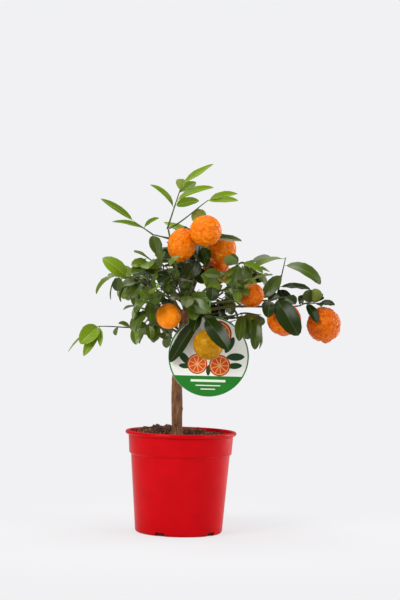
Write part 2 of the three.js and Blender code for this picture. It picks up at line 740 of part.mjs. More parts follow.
// Points of a leaf that have to be clear of what is round it
function leafPoints([root, middle, tip]) {
  const points = [tip.point];
  for (const [end, t] of [[root, 0.5], [middle, 0], [tip, 0.5]]) {
    const centre = middle.point.clone().lerp(end.point, t);
    const across = middle.side.clone().multiplyScalar(middle.half * (1 - t));
    points.push(centre, centre.clone().add(across), centre.clone().sub(across));
  }
  return points;
}

// A few points down the middle of a leaf, which keep it off the next leaf
function spine([root, middle, tip]) {
  const between = (a, b, t) => a.point.clone().lerp(b.point, t);
  return [
    between(root, middle, 0.5),
    middle.point,
    between(middle, tip, 0.35),
    between(middle, tip, 0.7),
    tip.point,
  ];
}

// The two faces of a leaf and the lines along their edges, from a little outside its twig
function outline([root, middle, tip]) {
  const start = root.point.clone().lerp(middle.point, LEAF.off);
  const across = middle.side.clone().multiplyScalar(middle.half);
  const [left, right] = [middle.point.clone().sub(across), middle.point.clone().add(across)];
  const faces = [[start, left, right], [left, right, tip.point]];
  const edges = [[start, left], [start, right], [left, right], [left, tip.point], [right, tip.point]];
  return { faces, edges };
}

function pierces([from, to], [a, b, c]) {
  const way = to.clone().sub(from);
  const hit = new THREE.Ray(from, way.clone().normalize()).intersectTriangle(a, b, c, false, vec(0, 0, 0));
  return hit !== null && hit.distanceTo(from) <= way.length();
}

const anyPierces = (edges, faces) => edges.some((edge) => faces.some((face) => pierces(edge, face)));

function leafSolid([root, middle, tip]) {
  const direction = middle.point.clone().sub(root.point).normalize();
  const across = middle.side.clone().multiplyScalar(middle.half);
  return skin([
    [root.point.clone().addScaledVector(direction, -LEAF.root)],
    [
      middle.point.clone().sub(across),
      middle.point.clone().add(across),
      middle.point.clone().addScaledVector(middle.normal, -LEAF.keel),
    ],
    [tip.point],
  ]);
}

// A leaf that is given by its place on the stem and its tip
function shownLeaf(stem, [at, tip, width, face, arch]) {
  const { point } = along(stem, at);
  const chord = vec(...tip).sub(point);
  const direction = chord.clone().normalize();
  const normal = facing(direction, face);
  const side = direction.clone().cross(normal);
  const length = chord.length() * (1 + (arch * arch) / 110000);
  const [way, top] = [direction, normal].map((v) => turned(v, side, arch / 2));
  return blade(point, way, top, length, SHOWN_WIDTH * width, arch);
}

// Masses

const stems = {};
for (const [name, { limb, at, azimuth, side, tip, bow }] of Object.entries(MASSES)) {
  let start;
  if (limb === "trunk") {
    const { point, radius } = trunkAt(at);
    start = point.addScaledVector(heading(azimuth), radius + TWIG.foot);
  } else {
    const { point, axis } = along(limbs[limb].line, 1);
    start = point.addScaledVector(axis, SEAM);
    if (side !== undefined) start.addScaledVector(around(axis, side), TWIG.stemRadius + GAP);
  }
  stems[name] = arc(start, vec(...tip), bow, TWIG.stemSteps);
}

// What keeps a mass to its own space: its stem, its shown leaves and its fruits
const masses = Object.entries(MASSES).map(([name, row]) => {
  const shown = (row.shown ?? []).map((leaf) => shownLeaf(stems[name], leaf));
  const lines = [stems[name], ...shown.map((stations) => stations.map(({ point }) => point))];
  const fruits = Object.values(FRUITS).filter((fruit) => fruit.mass === name);
  return { name, row, stem: stems[name], shown, lines, fruits };
});

// How far a point lies inside the space of a mass
function room(mass, point) {
  const own = Math.min(...mass.lines.map((line) => lineGap(point, line)));
  let other = Infinity;
  for (const rival of masses) {
    if (rival === mass) continue;
    for (const line of rival.lines) other = Math.min(other, lineGap(point, line));
    for (const fruit of rival.fruits) {
      other = Math.min(other, Math.max(0, fruitGap(point, fruit)) + CLEAR.fruitSpace);
    }
  }
  return (other - own) / 2;
}

function isFree(mass, points) {
  return points.every(
    (point) =>
      limbGap(point) >= CLEAR.limb &&
      labelGap(point) >= CLEAR.label &&
      Object.values(FRUITS).every((fruit) => fruitGap(point, fruit) >= CLEAR.fruit) &&
      room(mass, point) >= CLEAR.space,
  );
}

// A side twig that sets off in its direction and turns up a little
function sideTwig(start, direction, reach) {
  const line = [start.clone()];
  const way = direction.clone();
  for (let i = 0; i < TWIG.steps; i++) {
    line.push(line.at(-1).clone().addScaledVector(way, reach / TWIG.steps));
    way.addScaledVector(UP, TWIG.lift / TWIG.steps).normalize();
  }
  return line;
}

function growTwigs(mass, draw) {
  const { stem, row } = mass;
  const twigs = [stem];
  const stemLength = stem.at(-1).distanceTo(stem[0]);
  for (let i = 0; i < row.twigs; i++) {
    const place = TWIG.first + (TWIG.span * (i + 0.5)) / row.twigs;
    const share = place + draw(-TWIG.placeVary, TWIG.placeVary);
    const { point, axis } = along(stem, share);
    const turn = row.fan + i * TWIG.turn + draw(-TWIG.turnVary, TWIG.turnVary);
    const out = around(axis, turn);
    const spread = degToRad(draw(...TWIG.spread));
    const direction = axis.multiplyScalar(Math.cos(spread)).addScaledVector(out, Math.sin(spread));
    const longest = TWIG.reach + stemLength * (TWIG.longShare - TWIG.shareLost * share);
    const reach = longest * draw(...TWIG.vary);
    const choices = [1, TWIG.cutBack].map((part) => sideTwig(point, direction, part * reach));
    const twig = choices.find((line) => isFree(mass, line.slice(1)));
    if (twig) twigs.push(twig);
  }
  return twigs;
}

// The normal of a leaf's upper face
function upperFace(point, direction) {
  const lean = new THREE.Vector3(point.x, point.y, 0).normalize().multiplyScalar(LEAF.out);
  lean.add(UP).addScaledVector(FRONT, LEAF.front);
  lean.addScaledVector(direction, -lean.dot(direction));
  return lean.length() < LEAF.leastLean ? squareTo(direction).top : lean.normalize();
}

function growLeaves(mass, twigs, draw) {
  const { row } = mass;
  const leaves = mass.shown.filter((stations) => isFree(mass, leafPoints(stations)));
  const wood = twigs.flatMap((line) => line.slice(1).map((end, i) => [line[i], end]));
  const crosses = (stations) => {
    const { faces, edges } = outline(stations);
    const meets = (other) => anyPierces(edges, other.faces) || anyPierces(other.edges, faces);
    return anyPierces(wood, faces) || leaves.map(outline).some(meets);
  };
  twigs.forEach((line, k) => {
    const count = row.leaves + (k === 0 && row.leaves > 1 ? LEAF.onStem : 0);
    const firstTurn = draw(0, 360);
    for (let j = 0; j < count; j++) {
      const atEnd = j === count - 1;
      const share = atEnd ? LEAF.end : LEAF.first + (LEAF.span * (j + LEAF.offset)) / count;
      const { point, axis } = along(line, share);
      const spread = degToRad(atEnd ? LEAF.endSpread : draw(...LEAF.spread));
      const lay = draw(...LEAF.lay);
      const length = row.leaf * draw(...LEAF.vary) * (k === 0 ? 1 : LEAF.onSideTwig);
      const arch = draw(...LEAF.arch);
      const droop = row.droop * draw(...LEAF.droop);
      const young = draw() < row.fresh * (LEAF.youngBase + LEAF.youngTip * share);
      const width = length * (young ? LEAF.youngWidth : LEAF.width);
      for (let attempt = 0; attempt < 2 * LEAF.tries; attempt++) {
        const size = attempt < LEAF.tries ? 1 : LEAF.small;
        const out = around(axis, firstTurn + j * LEAF.turn + attempt * LEAF.retryTurn);
        const direction = axis.clone().multiplyScalar(Math.cos(spread));
        direction.addScaledVector(out, Math.sin(spread)).addScaledVector(UP, -droop).normalize();
        const normal = turned(upperFace(point, direction), direction, lay);
        const stations = blade(point, direction, normal, size * length, size * width, arch);
        const gap = LEAF.nearShare * size * length;
        const near = (other) => spine(stations).some((p) => spine(other).some((q) => p.distanceTo(q) < gap));
        if (leaves.some(near) || crosses(stations) || !isFree(mass, leafPoints(stations))) continue;
        leaves.push(stations);
        break;
      }
    }
  });
  return leaves;
}

// A fruit with its stalk, which comes from the nearest joint of the stem
function fruitSolid(stem, { centre, width, height, lean }) {
  const middle = vec(...centre);
  const crownPoint = middle.clone().addScaledVector(UP, height / 2);
  const joint = stem.slice(1).reduce((a, b) => (b.distanceTo(crownPoint) < a.distanceTo(crownPoint) ? b : a));
  const toJoint = joint.clone().sub(middle).normalize();
  const axis = UP.clone().lerp(toJoint, lean).normalize();
  const ball = new THREE.SphereGeometry(0.5, ...FRUIT.segments).rotateX(Math.PI / 2);
  ball.scale(width, width, height);
  ball.applyQuaternion(new THREE.Quaternion().setFromUnitVectors(UP, axis));
  ball.translate(middle.x, middle.y, middle.z);
  const top = middle.clone().addScaledVector(axis, height / 2 - FRUIT.stalkIn);
  const bend = middle.clone().addScaledVector(axis, height / 2 + FRUIT.stalkBend);
  return solidOf(ball).add(sprout([joint, bend, top], taper(TWIG.stalkRadius, TWIG.stalkRadius, 2)));
}

function massSolid(mass) {
  const draw = dice(mass.row.seed);
  const twigs = growTwigs(mass, draw);
  const leaves = growLeaves(mass, twigs, draw);
  const [stem, ...sides] = twigs;
  const wood = [
    tube(stem, taper(TWIG.stemRadius, TWIG.tipRadius, TWIG.stemSteps), TWIG.sides),
    ...sides.map((line) => sprout(line, taper(TWIG.radius, TWIG.tipRadius, TWIG.steps))),
  ];
  const blades = leaves.map(leafSolid);
  const fruits = mass.fruits.map((fruit) => fruitSolid(mass.stem, fruit));
  return joined([...wood, ...blades, ...fruits]);
}

// Label

function label() {
  const { x, y, z, radius, thickness, neckWidth, eye } = LABEL;
  const plate = (shape, segments) => {
    const options = { depth: thickness, bevelEnabled: false, curveSegments: segments };
    const geometry = new THREE.ExtrudeGeometry(shape, options);
    return solidOf(geometry.rotateX(Math.PI / 2).translate(0, y + thickness / 2, 0));
  };
  const circle = (cx, cz, r) => new THREE.Shape().absarc(cx, cz, r, 0, 2 * Math.PI, false);
  const slope = Math.atan2(eye.z - z, eye.x - x);
  const [dx, dz] = [(-Math.sin(slope) * neckWidth) / 2, (Math.cos(slope) * neckWidth) / 2];
  const foot = [x + Math.cos(slope) * (radius - 6), z + Math.sin(slope) * (radius - 6)];
  const neck = new THREE.Shape([
    new THREE.Vector2(foot[0] + dx, foot[1] + dz),
    new THREE.Vector2(foot[0] - dx, foot[1] - dz),
    new THREE.Vector2(eye.x - dx, eye.z - dz),
    new THREE.Vector2(eye.x + dx, eye.z + dz),
  ]);
  const eyelet = plate(circle(eye.x, eye.z, eye.radius), 7);
  const hole = solidOf(
    new THREE.CylinderGeometry(eye.hole, eye.hole, 4 * thickness, 12).translate(eye.x, y, eye.z),
  );
  const solid = joined([plate(circle(x, z, radius), 24), plate(neck, 1), eyelet]).subtract(hole);
  return meshOf("label", solid, COLOURS.label);
}

// The whole plant

const group = new THREE.Group();
group.add(pot(), soil(), label());
const { solids, allThick } = limbSolids();
for (const [name, solid] of Object.entries(solids)) {
  group.add(meshOf(name === "trunk" ? name : `bough_${name}`, solid, COLOURS.bark));
}
for (const mass of masses) {
  const solid = mainPiece(massSolid(mass).subtract(allThick));
  group.add(meshOf(`foliage_${mass.name}`, solid, mass.row.fresh > 0.5 ? COLOURS.freshLeaf : COLOURS.leaf));
}

export default group;
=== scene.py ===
import math
import random

import bmesh
import bpy
import numpy as np
from mathutils import Matrix, Vector, noise


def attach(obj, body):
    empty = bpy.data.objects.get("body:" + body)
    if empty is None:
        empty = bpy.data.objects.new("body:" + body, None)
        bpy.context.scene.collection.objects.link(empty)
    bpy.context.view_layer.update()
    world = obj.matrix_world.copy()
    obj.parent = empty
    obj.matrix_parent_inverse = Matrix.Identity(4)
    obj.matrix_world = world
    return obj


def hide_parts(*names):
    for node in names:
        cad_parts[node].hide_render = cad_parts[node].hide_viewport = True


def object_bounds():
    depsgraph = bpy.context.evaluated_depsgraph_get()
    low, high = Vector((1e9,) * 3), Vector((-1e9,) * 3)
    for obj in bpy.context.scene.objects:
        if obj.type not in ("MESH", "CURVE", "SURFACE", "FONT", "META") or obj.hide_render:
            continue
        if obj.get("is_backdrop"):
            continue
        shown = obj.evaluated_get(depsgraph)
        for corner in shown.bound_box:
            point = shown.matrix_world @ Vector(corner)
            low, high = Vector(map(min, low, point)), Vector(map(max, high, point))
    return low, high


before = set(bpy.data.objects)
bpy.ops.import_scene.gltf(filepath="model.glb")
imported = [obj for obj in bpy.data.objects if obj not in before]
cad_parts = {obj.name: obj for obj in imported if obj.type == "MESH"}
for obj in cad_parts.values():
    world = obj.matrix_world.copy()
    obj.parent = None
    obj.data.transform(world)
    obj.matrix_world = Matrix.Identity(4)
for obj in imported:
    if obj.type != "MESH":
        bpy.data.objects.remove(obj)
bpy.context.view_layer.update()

MM = 0.001

# Sizes

POT = {
    "rim_radius": 100, "height": 182, "rim_height": 7, "rim_width": 7.2, "rim_round": 1.6,
    "under_rim": (0.1, 1.2),  # in and down, where the collar meets the rim
    "collar_top": 94.3, "collar_foot": 92.2, "collar_height": 33, "collar_drop": 0.3,
    "step_height": 2, "step_round": 0.9, "under_step": (0.05, 1.6), "body_top": 89,
    "foot_radius": 78.5, "corner": 5, "wall": 1.4, "floor": 2, "inner_foot": 1,
    "sides": 192, "sharp": 38,
}
NOTCH = {"count": 5, "first": -114.5, "width": 18, "height": 7, "depth": 13, "round": 1.2}
SOIL = {
    "level": 168, "crown": 1, "wall_gap": 0.4, "foot_up": 1.3, "step_up": 0.2, "top_in": 0.6,
    "rings": 62, "spokes": 224,
    "back_bank": (17, 140), "bank_power": 1.5, "side_bank": (6, 10),  # rise and azimuth
    "lump": 2.8, "least_lump": 0.35, "flat_to": 12, "flat_fade": 24,
}
# Layers of lumps in the soil: width, layer of the noise, height
SOIL_LUMPS = {"broad": (22, 3.1, 0.9), "small": (7, 9.7, 0.8), "fine": (2.6, 5.3, 0.5)}

# Height, x and radius of the trunk
TRUNK = [
    (168.3, -7.0, 12.5), (178, -7.2, 10.4), (205, -8.2, 9.7), (270, -9.5, 9.5),
    (330, -5.5, 9.2), (375, 0.5, 8.8), (396, 3.0, 8.2), (406, 4.0, 5.0),
]
ROOT_LOBES = {"count": 5, "depth": 0.12, "below": 182, "fade": 16}
SCARS = [(221.6, -8, 3.0), (194.8, -98, 3.4), (260.4, -76, 2.8)]  # height, azimuth, radius

# Parent, place on it, tip, bow and the two radii of each bough
BOUGHS = {
    "leader": ("trunk", 401, [-33, 14, 545], -4, (3.2, 1.6)),
    "left_high": ("leader", 0.88, [-60, 8, 534], 0, (1.6, 1.2)),
    "top": ("trunk", 402, [16, 14, 456], 2, (2.9, 1.7)),
    "right_up": ("trunk", 396, [95, -6, 484], 8, (2.8, 1.5)),
    "right_mid": ("trunk", 391, [166, 24, 423], 12, (2.6, 1.5)),
    "right_low": ("trunk", 383, [207, 8, 412], 13, (2.9, 1.5)),
    "right_front": ("right_low", 0.68, [149, -46, 418], 5, (1.9, 1.3)),
    "right_under": ("trunk", 360, [100, -14, 395], 10, (2.5, 1.4)),
    "left_mid": ("trunk", 384, [-62, -10, 443], 10, (2.8, 1.5)),
    "left_up": ("trunk", 398, [-30, -4, 451], 2, (2.6, 1.5)),
    "left_low": ("trunk", 350, [-54, 4, 373], 6, (2.5, 1.4)),
    "front_right": ("trunk", 392, [49, -36, 426], 6, (2.7, 1.5)),
    "back_left": ("trunk", 380, [-56, 76, 430], 10, (3.6, 1.7)),
    "back": ("trunk", 394, [0, 78, 466], 10, (3.6, 1.7)),
    "back_right": ("trunk", 378, [66, 76, 430], 10, (3.6, 1.7)),
    "back_low": ("trunk", 352, [-30, 58, 374], 6, (2.8, 1.6)),
}


def mass(limb, tip, bow, twigs, fan, leaves, leaf, fresh, droop, seed, shown=(), **place):
    """One mass of foliage. A shown leaf has its share of the stem, tip, width, turn from
    facing the front, arch in degrees and how young it is, from 0 to 1."""
    return {
        "limb": limb, "tip": tip, "bow": bow, "twigs": twigs, "fan": fan, "leaves": leaves,
        "leaf": leaf, "fresh": fresh, "droop": droop, "seed": seed, "shown": shown, **place,
    }


MASSES = {
    "crown_top": mass("leader", [-10, 4, 626], 0, 0, 0, 0, 30, 1, 0, 3, [
        (0.47, [-67, -4, 623], 20, 55, 30, 1), (0.85, [-11, -28, 633], 21, 0, 10, 1),
        (0.99, [46, 10, 664], 17, 40, 10, 1), (0.6, [48, -2, 621], 18, 45, 50, 1),
        (0.53, [22, -24, 595], 20, 20, 20, 0.6), (0.8, [15, 26, 632], 20, 40, 10, 0.6),
    ], side=-70),
    "crown_right": mass("leader", [38, -2, 598], -3, 0, 0, 0, 30, 1, 0, 5, [
        (0.99, [91, 4, 611], 18, 45, 25, 1), (0.97, [92, -12, 598], 17, 35, 14, 1),
        (0.76, [24, 12, 552], 30, 0, 10, 0.8),
    ], side=110),
    "crown_left": mass("left_high", [-94, 4, 556], 0, 0, 0, 0, 30, 1, 0, 4, [
        (0.99, [-156, 6, 596], 16, 40, 12, 1), (0.45, [-133, -14, 554], 15, 50, 25, 0.9),
        (0.5, [-49, -12, 563], 15, 50, 30, 0.9), (0.02, [-50, -10, 497], 25, 15, 14, 0.2),
    ]),
    "top_fruit": mass("top", [27, 14, 527], 0, 2, 200, 3, 40, 0.1, 0.3, 8, [
        (0.5, [5, -60, 454], 32, 0, 12, 0.05), (0.3, [33, -10, 447], 26, 15, 15, 0.05),
        (0.98, [100, -26, 525], 18, 50, 30, 0.2), (0.98, [-42, 40, 558], 18, 25, 20, 1),
    ]),
    "right_up": mass("right_up", [128, -6, 470], 7, 1, 200, 2, 40, 0.1, 0.4, 9, [
        (0.05, [84, -20, 437], 36, 5, 10, 0), (0.02, [76, -10, 497], 22, 30, 15, 0.1),
        (0.1, [140, -12, 469], 18, 50, 35, 0.5), (0.92, [104, -10, 451], 20, 60, 20, 0.3),
    ]),
    "right_sprig": mass("right_mid", [181, 14, 499], 0, 0, 0, 0, 46, 0, 0.5, 12, [
        (0.97, [108, 26, 456], 24, 62, 70, 0.3), (0.8, [246, -4, 451], 27, 42, 85, 0.2),
        (0.6, [142, 8, 425], 26, 8, 25, 0.2), (0.3, [226, 0, 442], 20, 50, 22, 0.05),
        (0.25, [189, 16, 413], 26, 5, 14, 0.1), (0.15, [154, 0, 419], 22, 25, 20, 0),
    ]),
    "right_mid": mass("front_right", [116, -44, 454], 4, 1, 330, 3, 40, 0, 0.1, 13, side=-40),
    "right_far": mass("right_front", [186, -36, 428], 3, 0, 200, 1, 40, 0, 0.6, 15, [
        (0.35, [203, -76, 359], 39, 5, 64, 0), (0.1, [148, -70, 390], 24, 15, 40, 0),
        (0.8, [197, -62, 415], 24, 25, 20, 0),
    ]),
    "right_end": mass("right_low", [243, 4, 418], 3, 1, 80, 2, 28, 0.1, 0.3, 17, [
        (0.4, [237, -40, 382], 19, 10, 30, 0), (0.7, [237, -30, 443], 22, 20, 20, 0.7),
        (0.5, [221, -20, 441], 22, 20, 20, 0), (0.2, [204, -16, 429], 18, 35, 20, 0),
        (0.95, [246, -34, 413], 13, 25, 20, 0.1),
    ]),
    "right_under": mass("right_under", [138, -24, 394], 2, 1, 250, 3, 42, 0, 0.8, 16, [
        (0.85, [128, -28, 332], 22, 0, 10, 0.1), (0.1, [99, -58, 347], 22, 10, 12, 0.2),
        (0.25, [114, -40, 355], 22, 15, 12, 0.2), (0.6, [119, -60, 385], 20, 20, 25, 0.1),
    ]),
    "left_mid": mass("left_mid", [-124, -14, 458], 3, 0, 60, 0, 32, 0.2, 0.7, 21, [
        (0.68, [-149, -18, 489], 30, 15, 60, 1), (0.99, [-158, -22, 423], 22, 58, 60, 0.3),
        (0.9, [-121, -6, 430], 22, 15, 12, 0.2), (0.97, [-132, -14, 414], 15, 86, 40, 0.2),
        (0.5, [-86, 4, 446], 16, 30, 15, 0.2), (0.3, [-68, 10, 443], 15, 30, 15, 0.1),
    ], side=60),
    "left_fork": mass("left_mid", [-108, -34, 438], 7, 1, 60, 2, 30, 0.1, 0.7, 20, [
        (0.99, [-112, -38, 411], 16, 84, 45, 0.2), (0.85, [-106, -46, 423], 16, 35, 20, 0),
        (0.5, [-86, -42, 403], 20, 20, 20, 0), (0.3, [-94, -56, 418], 20, 10, 20, 0.1),
    ], side=-120),
    "left_up": mass("left_up", [-58, -14, 480], 0, 4, 180, 4, 40, 0.05, 0.4, 22, [
        (0.7, [-71, -34, 468], 26, 25, 20, 0.1), (0.5, [-51, -34, 490], 26, 25, 20, 0.1),
    ]),
    "left_low": mass("left_low", [-153, -8, 366], -5, 0, 100, 1, 34, 0.3, 0.6, 23, [
        (0.99, [-185, -18, 334], 34, 10, 60, 1), (0.97, [-178, -14, 312], 21, 15, 12, 1),
        (0.99, [-148, -22, 330], 13, 15, 10, 1), (0.99, [-208, 8, 318], 12, 84, 30, 1),
        (0.66, [-120, -22, 351], 13, 40, 20, 0.2), (0.42, [-117, -16, 372], 15, 50, 25, 0.3),
        (0.36, [-84, -18, 335], 18, 10, 12, 0.3), (0.1, [-94, -32, 368], 18, 40, 20, 0.2),
        (0.08, [-58, -26, 344], 19, 15, 12, 0.1),
    ]),
    "left_under": mass("trunk", [-66, 26, 386], 6, 3, 0, 4, 36, 0, 0.8, 24, [
        (0.35, [-33, 8, 345], 26, 10, 12, 0.1),
    ], at=336, azimuth=168),
    "front_left": mass("trunk", [-74, -50, 424], 4, 3, 300, 4, 42, 0.05, 0.5, 25, [
        (0.98, [-89, -62, 380], 15, 30, 25, 0.1), (0.8, [-59, -70, 379], 21, 10, 15, 0.05),
    ], at=374, azimuth=222),
    "front_low": mass("trunk", [39, -60, 387], 9, 1, 180, 2, 40, 0, 0.6, 26, [
        (0.72, [-22, -38, 306], 29, 30, 6, 0.1), (0.99, [81, -108, 332], 33, 5, 46, 0.1),
    ], at=388, azimuth=-62),
    "centre": mass("trunk", [-7, -52, 417], 10, 4, 90, 5, 40, 0, 0.5, 27, [
        (0.98, [48, -78, 397], 29, 15, 20, 0), (0.6, [52, -76, 424], 24, 15, 20, 0),
    ], at=398, azimuth=-110),
    "centre_up": mass("trunk", [-24, -42, 466], 2, 4, 200, 4, 38, 0.05, 0.4, 29, at=404, azimuth=-130),
    "centre_right": mass("front_right", [66, -66, 452], 6, 3, 200, 4, 40, 0, 0.5, 28, [
        (0.85, [40, -92, 434], 22, 10, 20, 0.1), (0.45, [34, -50, 454], 24, 15, 15, 0.1),
    ], side=150),
    "inner_right": mass("trunk", [70, 30, 432], 6, 4, 200, 4, 44, 0, 0.6, 41, at=392, azimuth=20),
    "inner_up": mass("trunk", [28, 38, 470], 4, 4, 120, 5, 42, 0, 0.5, 43, at=400, azimuth=70),
    "inner_left": mass("trunk", [-58, 36, 452], 6, 4, 0, 5, 42, 0, 0.5, 42, at=390, azimuth=150),
    "back_left": mass("back_left", [-92, 124, 448], 6, 4, 30, 5, 42, 0.2, 0.4, 31),
    "back_top": mass("back", [30, 108, 512], 0, 4, 30, 4, 42, 0.2, 0.3, 35, side=90),
    "back": mass("back", [-8, 150, 474], 6, 4, 60, 5, 46, 0.2, 0.4, 32, side=-90),
    "back_right": mass("back_right", [106, 122, 456], 6, 4, 10, 5, 44, 0.2, 0.4, 37),
    "back_low": mass("back_low", [-58, 110, 386], 6, 4, 90, 5, 42, 0.1, 0.5, 34),
    "back_under": mass("trunk", [58, 100, 378], 8, 4, 90, 5, 46, 0.1, 0.6, 36, at=346, azimuth=56),
}

# Mass, centre, width, height, lean of the stalk, roughness of the rind and its finish. The deep finish
# is partly the fruit's own riper red-orange and partly painted shade, for fruit that hang in the shade of
# the crown.
FRUITS = [
    ("top_fruit", [-7, -10, 516], 51, 61, 0.2, 1, "bumpy"),
    ("top_fruit", [35, -40, 541], 56, 56, 1, 1.1, "bumpy"),
    ("top_fruit", [66, 18, 512], 50, 54, 0.4, 1.2, "bumpy"),
    ("top_fruit", [56, 56, 472], 50, 52, 0.8, 1.1, "deep"),
    ("front_left", [-27, -50, 388], 45, 45, 0.2, 0.25, "smooth"),
    ("front_low", [45, -61, 340], 54, 54, 0.2, 0.35, "turning"),
    ("right_mid", [120, -30, 429], 44, 44, 0.3, 0.3, "deep"),
    ("right_far", [179, -26, 387], 61, 58, 0.3, 0.7, "deep"),
    ("right_end", [252, -2, 379], 61, 63, 0.75, 1.3, "deep"),
    ("back_top", [54, 134, 480], 46, 47, 0.3, 0.9, "bumpy"),
    ("back_right", [120, 112, 428], 40, 41, 0.3, 0.7, "deep"),
    ("back_under", [54, 98, 338], 48, 50, 0.3, 0.5, "turning"),
]

LABEL = {
    "x": 46, "y": -30, "z": 318, "radius": 72, "thickness": 1.2, "neck_width": 9,
    "eye_x": 41.5, "eye_z": 421.5, "eye_radius": 8, "eye_hole": 5,
}

# The growth rule, with the values of the part
LIMB_STEPS = 6
BOW_PEAK = 6.75
SEAM = 0.4
GAP = 0.3
TWIG = {
    "stem_steps": 5, "steps": 3, "stem_radius": 1.7, "radius": 1.2, "tip_radius": 0.8,
    "foot": -1, "turn": 137.5, "turn_vary": 12, "first": 0.22, "span": 0.62,
    "place_vary": 0.04, "spread": (42, 60), "reach": 18, "long_share": 0.46,
    "share_lost": 0.24, "vary": (0.85, 1.15), "cut_back": 0.7, "lift": 0.35,
}
LEAF = {
    "middle": 0.43, "first": 0.22, "span": 0.74, "offset": 0.4, "end": 0.999,
    "end_spread": 22, "spread": (46, 68), "lay": (-38, 38), "vary": (0.74, 1.12),
    "on_side_twig": 0.86, "on_stem": 2, "arch": (12, 55), "droop": (0.4, 1.4),
    "young_base": 0.5, "young_tip": 0.6, "width": 0.63, "young_width": 0.52, "turn": 144,
    "retry_turn": 72, "tries": 5, "small": 0.7, "off": 0.12, "near_share": 0.13,
    "spine": (0.35, 0.7), "out": 0.5, "front": 0.7, "least_lean": 0.3, "least_up": -0.3,
}
SHOWN_WIDTH = 1.12
BEND_TAKES_UP = 110000  # a leaf arched by a degrees is a * a / this longer than its chord
FRUIT_STALK = {"inside": 3, "bend": 3, "radii": (1.1, 1.3, 1.5)}
CLEAR = {"space": 0.7, "limb": 1.2, "label": 1.8, "fruit": 1.2, "fruit_space": 4}
DICE = {"seed": 7919, "step": 16807, "range": 2147483647}

# Lines and directions

UP = np.array([0.0, 0.0, 1.0])
FRONT = np.array([0.0, -1.0, 0.0])
UPRIGHT = 1e-6  # a line whose level part is shorter than this has no side of its own


def vec(values):
    return np.array(values, float)


def length_of(v):
    return math.sqrt(v[0] * v[0] + v[1] * v[1] + v[2] * v[2])


def unit(v):
    return v / length_of(v)


def cross(a, b):
    return np.array([
        a[1] * b[2] - a[2] * b[1], a[2] * b[0] - a[0] * b[2], a[0] * b[1] - a[1] * b[0],
    ])


def turned(v, axis, degrees):
    c, s = math.cos(math.radians(degrees)), math.sin(math.radians(degrees))
    return v * c + cross(axis, v) * s + axis * (float(axis @ v) * (1 - c))


def heading(azimuth):
    a = math.radians(azimuth)
    return np.array([math.cos(a), math.sin(a), 0.0])


def arc(start, end, bow, steps):
    line = []
    for i in range(steps + 1):
        t = i / steps
        point = start + (end - start) * t
        point[2] += BOW_PEAK * bow * t * (1 - t) ** 2
        line.append(point)
    return np.array(line)


def along(line, share):
    n = len(line) - 1
    i = min(math.floor(share * n), n - 1)
    point = line[i] + (line[i + 1] - line[i]) * (share * n - i)
    return point, unit(line[i + 1] - line[i])


def square_to(axis):
    side = cross(axis, UP)
    side = np.array([1.0, 0.0, 0.0]) if length_of(side) < UPRIGHT else unit(side)
    return side, cross(side, axis)


def around(axis, degrees):
    side, top = square_to(axis)
    return side * math.cos(math.radians(degrees)) + top * math.sin(math.radians(degrees))


def facing(direction, face):
    """Normal of a leaf that shows the front its face at 0 degrees and its edge at 90."""
    front = unit(FRONT + direction * direction[1])
    top = cross(direction, front)
    if top[2] < 0:
        top = -top
    normal = front * math.cos(math.radians(face)) + top * math.sin(math.radians(face))
    return normal if normal[2] > LEAF["least_up"] else -normal


def dice(seed):
    """Draws numbers in a fixed order, as the part's own rule does."""
    state = seed * DICE["seed"] % DICE["range"]

    def draw(low=0.0, high=1.0):
        nonlocal state
        state = state * DICE["step"] % DICE["range"]
        return low + (high - low) * state / DICE["range"]

    draw()
    draw()
    return draw


# Trunk and boughs


def trunk_at(z):
    """Middle and radius of the trunk at a height."""
    i = max(1, next(k for k, row in enumerate(TRUNK) if z <= row[0]))
    (z0, x0, r0), (z1, x1, r1) = TRUNK[i - 1], TRUNK[i]
    t = (z - z0) / (z1 - z0)
    return np.array([x0 + (x1 - x0) * t, 0.0, z]), r0 + (r1 - r0) * t


limbs = {"trunk": (np.array([[x, 0.0, z] for z, x, _ in TRUNK]), np.array([r for *_, r in TRUNK]))}
for limb_name, (parent, at, tip, bow, radii) in BOUGHS.items():
    start = trunk_at(at)[0] if parent == "trunk" else along(limbs[parent][0], at)[0]
    limbs[limb_name] = (arc(start, vec(tip), bow, LIMB_STEPS), np.linspace(*radii, LIMB_STEPS + 1))

stems = {}
for mass_name, row in MASSES.items():
    if row["limb"] == "trunk":
        start, radius = trunk_at(row["at"])
        start = start + heading(row["azimuth"]) * (radius + TWIG["foot"])
    else:
        start, axis = along(limbs[row["limb"]][0], 1)
        start = start + axis * SEAM
        if "side" in row:
            start = start + around(axis, row["side"]) * (TWIG["stem_radius"] + GAP)
    stems[mass_name] = arc(start, vec(row["tip"]), row["bow"], TWIG["stem_steps"])


# Distances


def segments(lines):
    starts = np.concatenate([line[:-1] for line in lines])
    ways = np.concatenate([line[1:] - line[:-1] for line in lines])
    return starts, ways


def gaps(points, starts, ways):
    """Distance of each point to each segment, and the share along the segment."""
    offset = points[:, None, :] - starts
    share = np.clip((offset * ways).sum(-1) / (ways * ways).sum(-1), 0, 1)
    return np.linalg.norm(offset - ways * share[..., None], axis=-1), share


limb_starts, limb_ways = segments([line for line, _ in limbs.values()])
limb_radii = np.concatenate([radii[:-1] for _, radii in limbs.values()])
limb_taper = np.concatenate([np.diff(radii) for _, radii in limbs.values()])
fruit_centres = np.array([row[1] for row in FRUITS], float)
fruit_reach = np.array([[row[2] / 2, row[2] / 2, row[3] / 2] for row in FRUITS])
fruit_mass = np.array([list(MASSES).index(row[0]) for row in FRUITS])


def limb_gaps(points):
    gap, share = gaps(points, limb_starts, limb_ways)
    return (gap - limb_radii - limb_taper * share).min(1)


def fruit_gaps(points):
    reach = np.linalg.norm((points[:, None, :] - fruit_centres) / fruit_reach, axis=-1)
    return (reach - 1) * fruit_reach.sum(-1) / 3


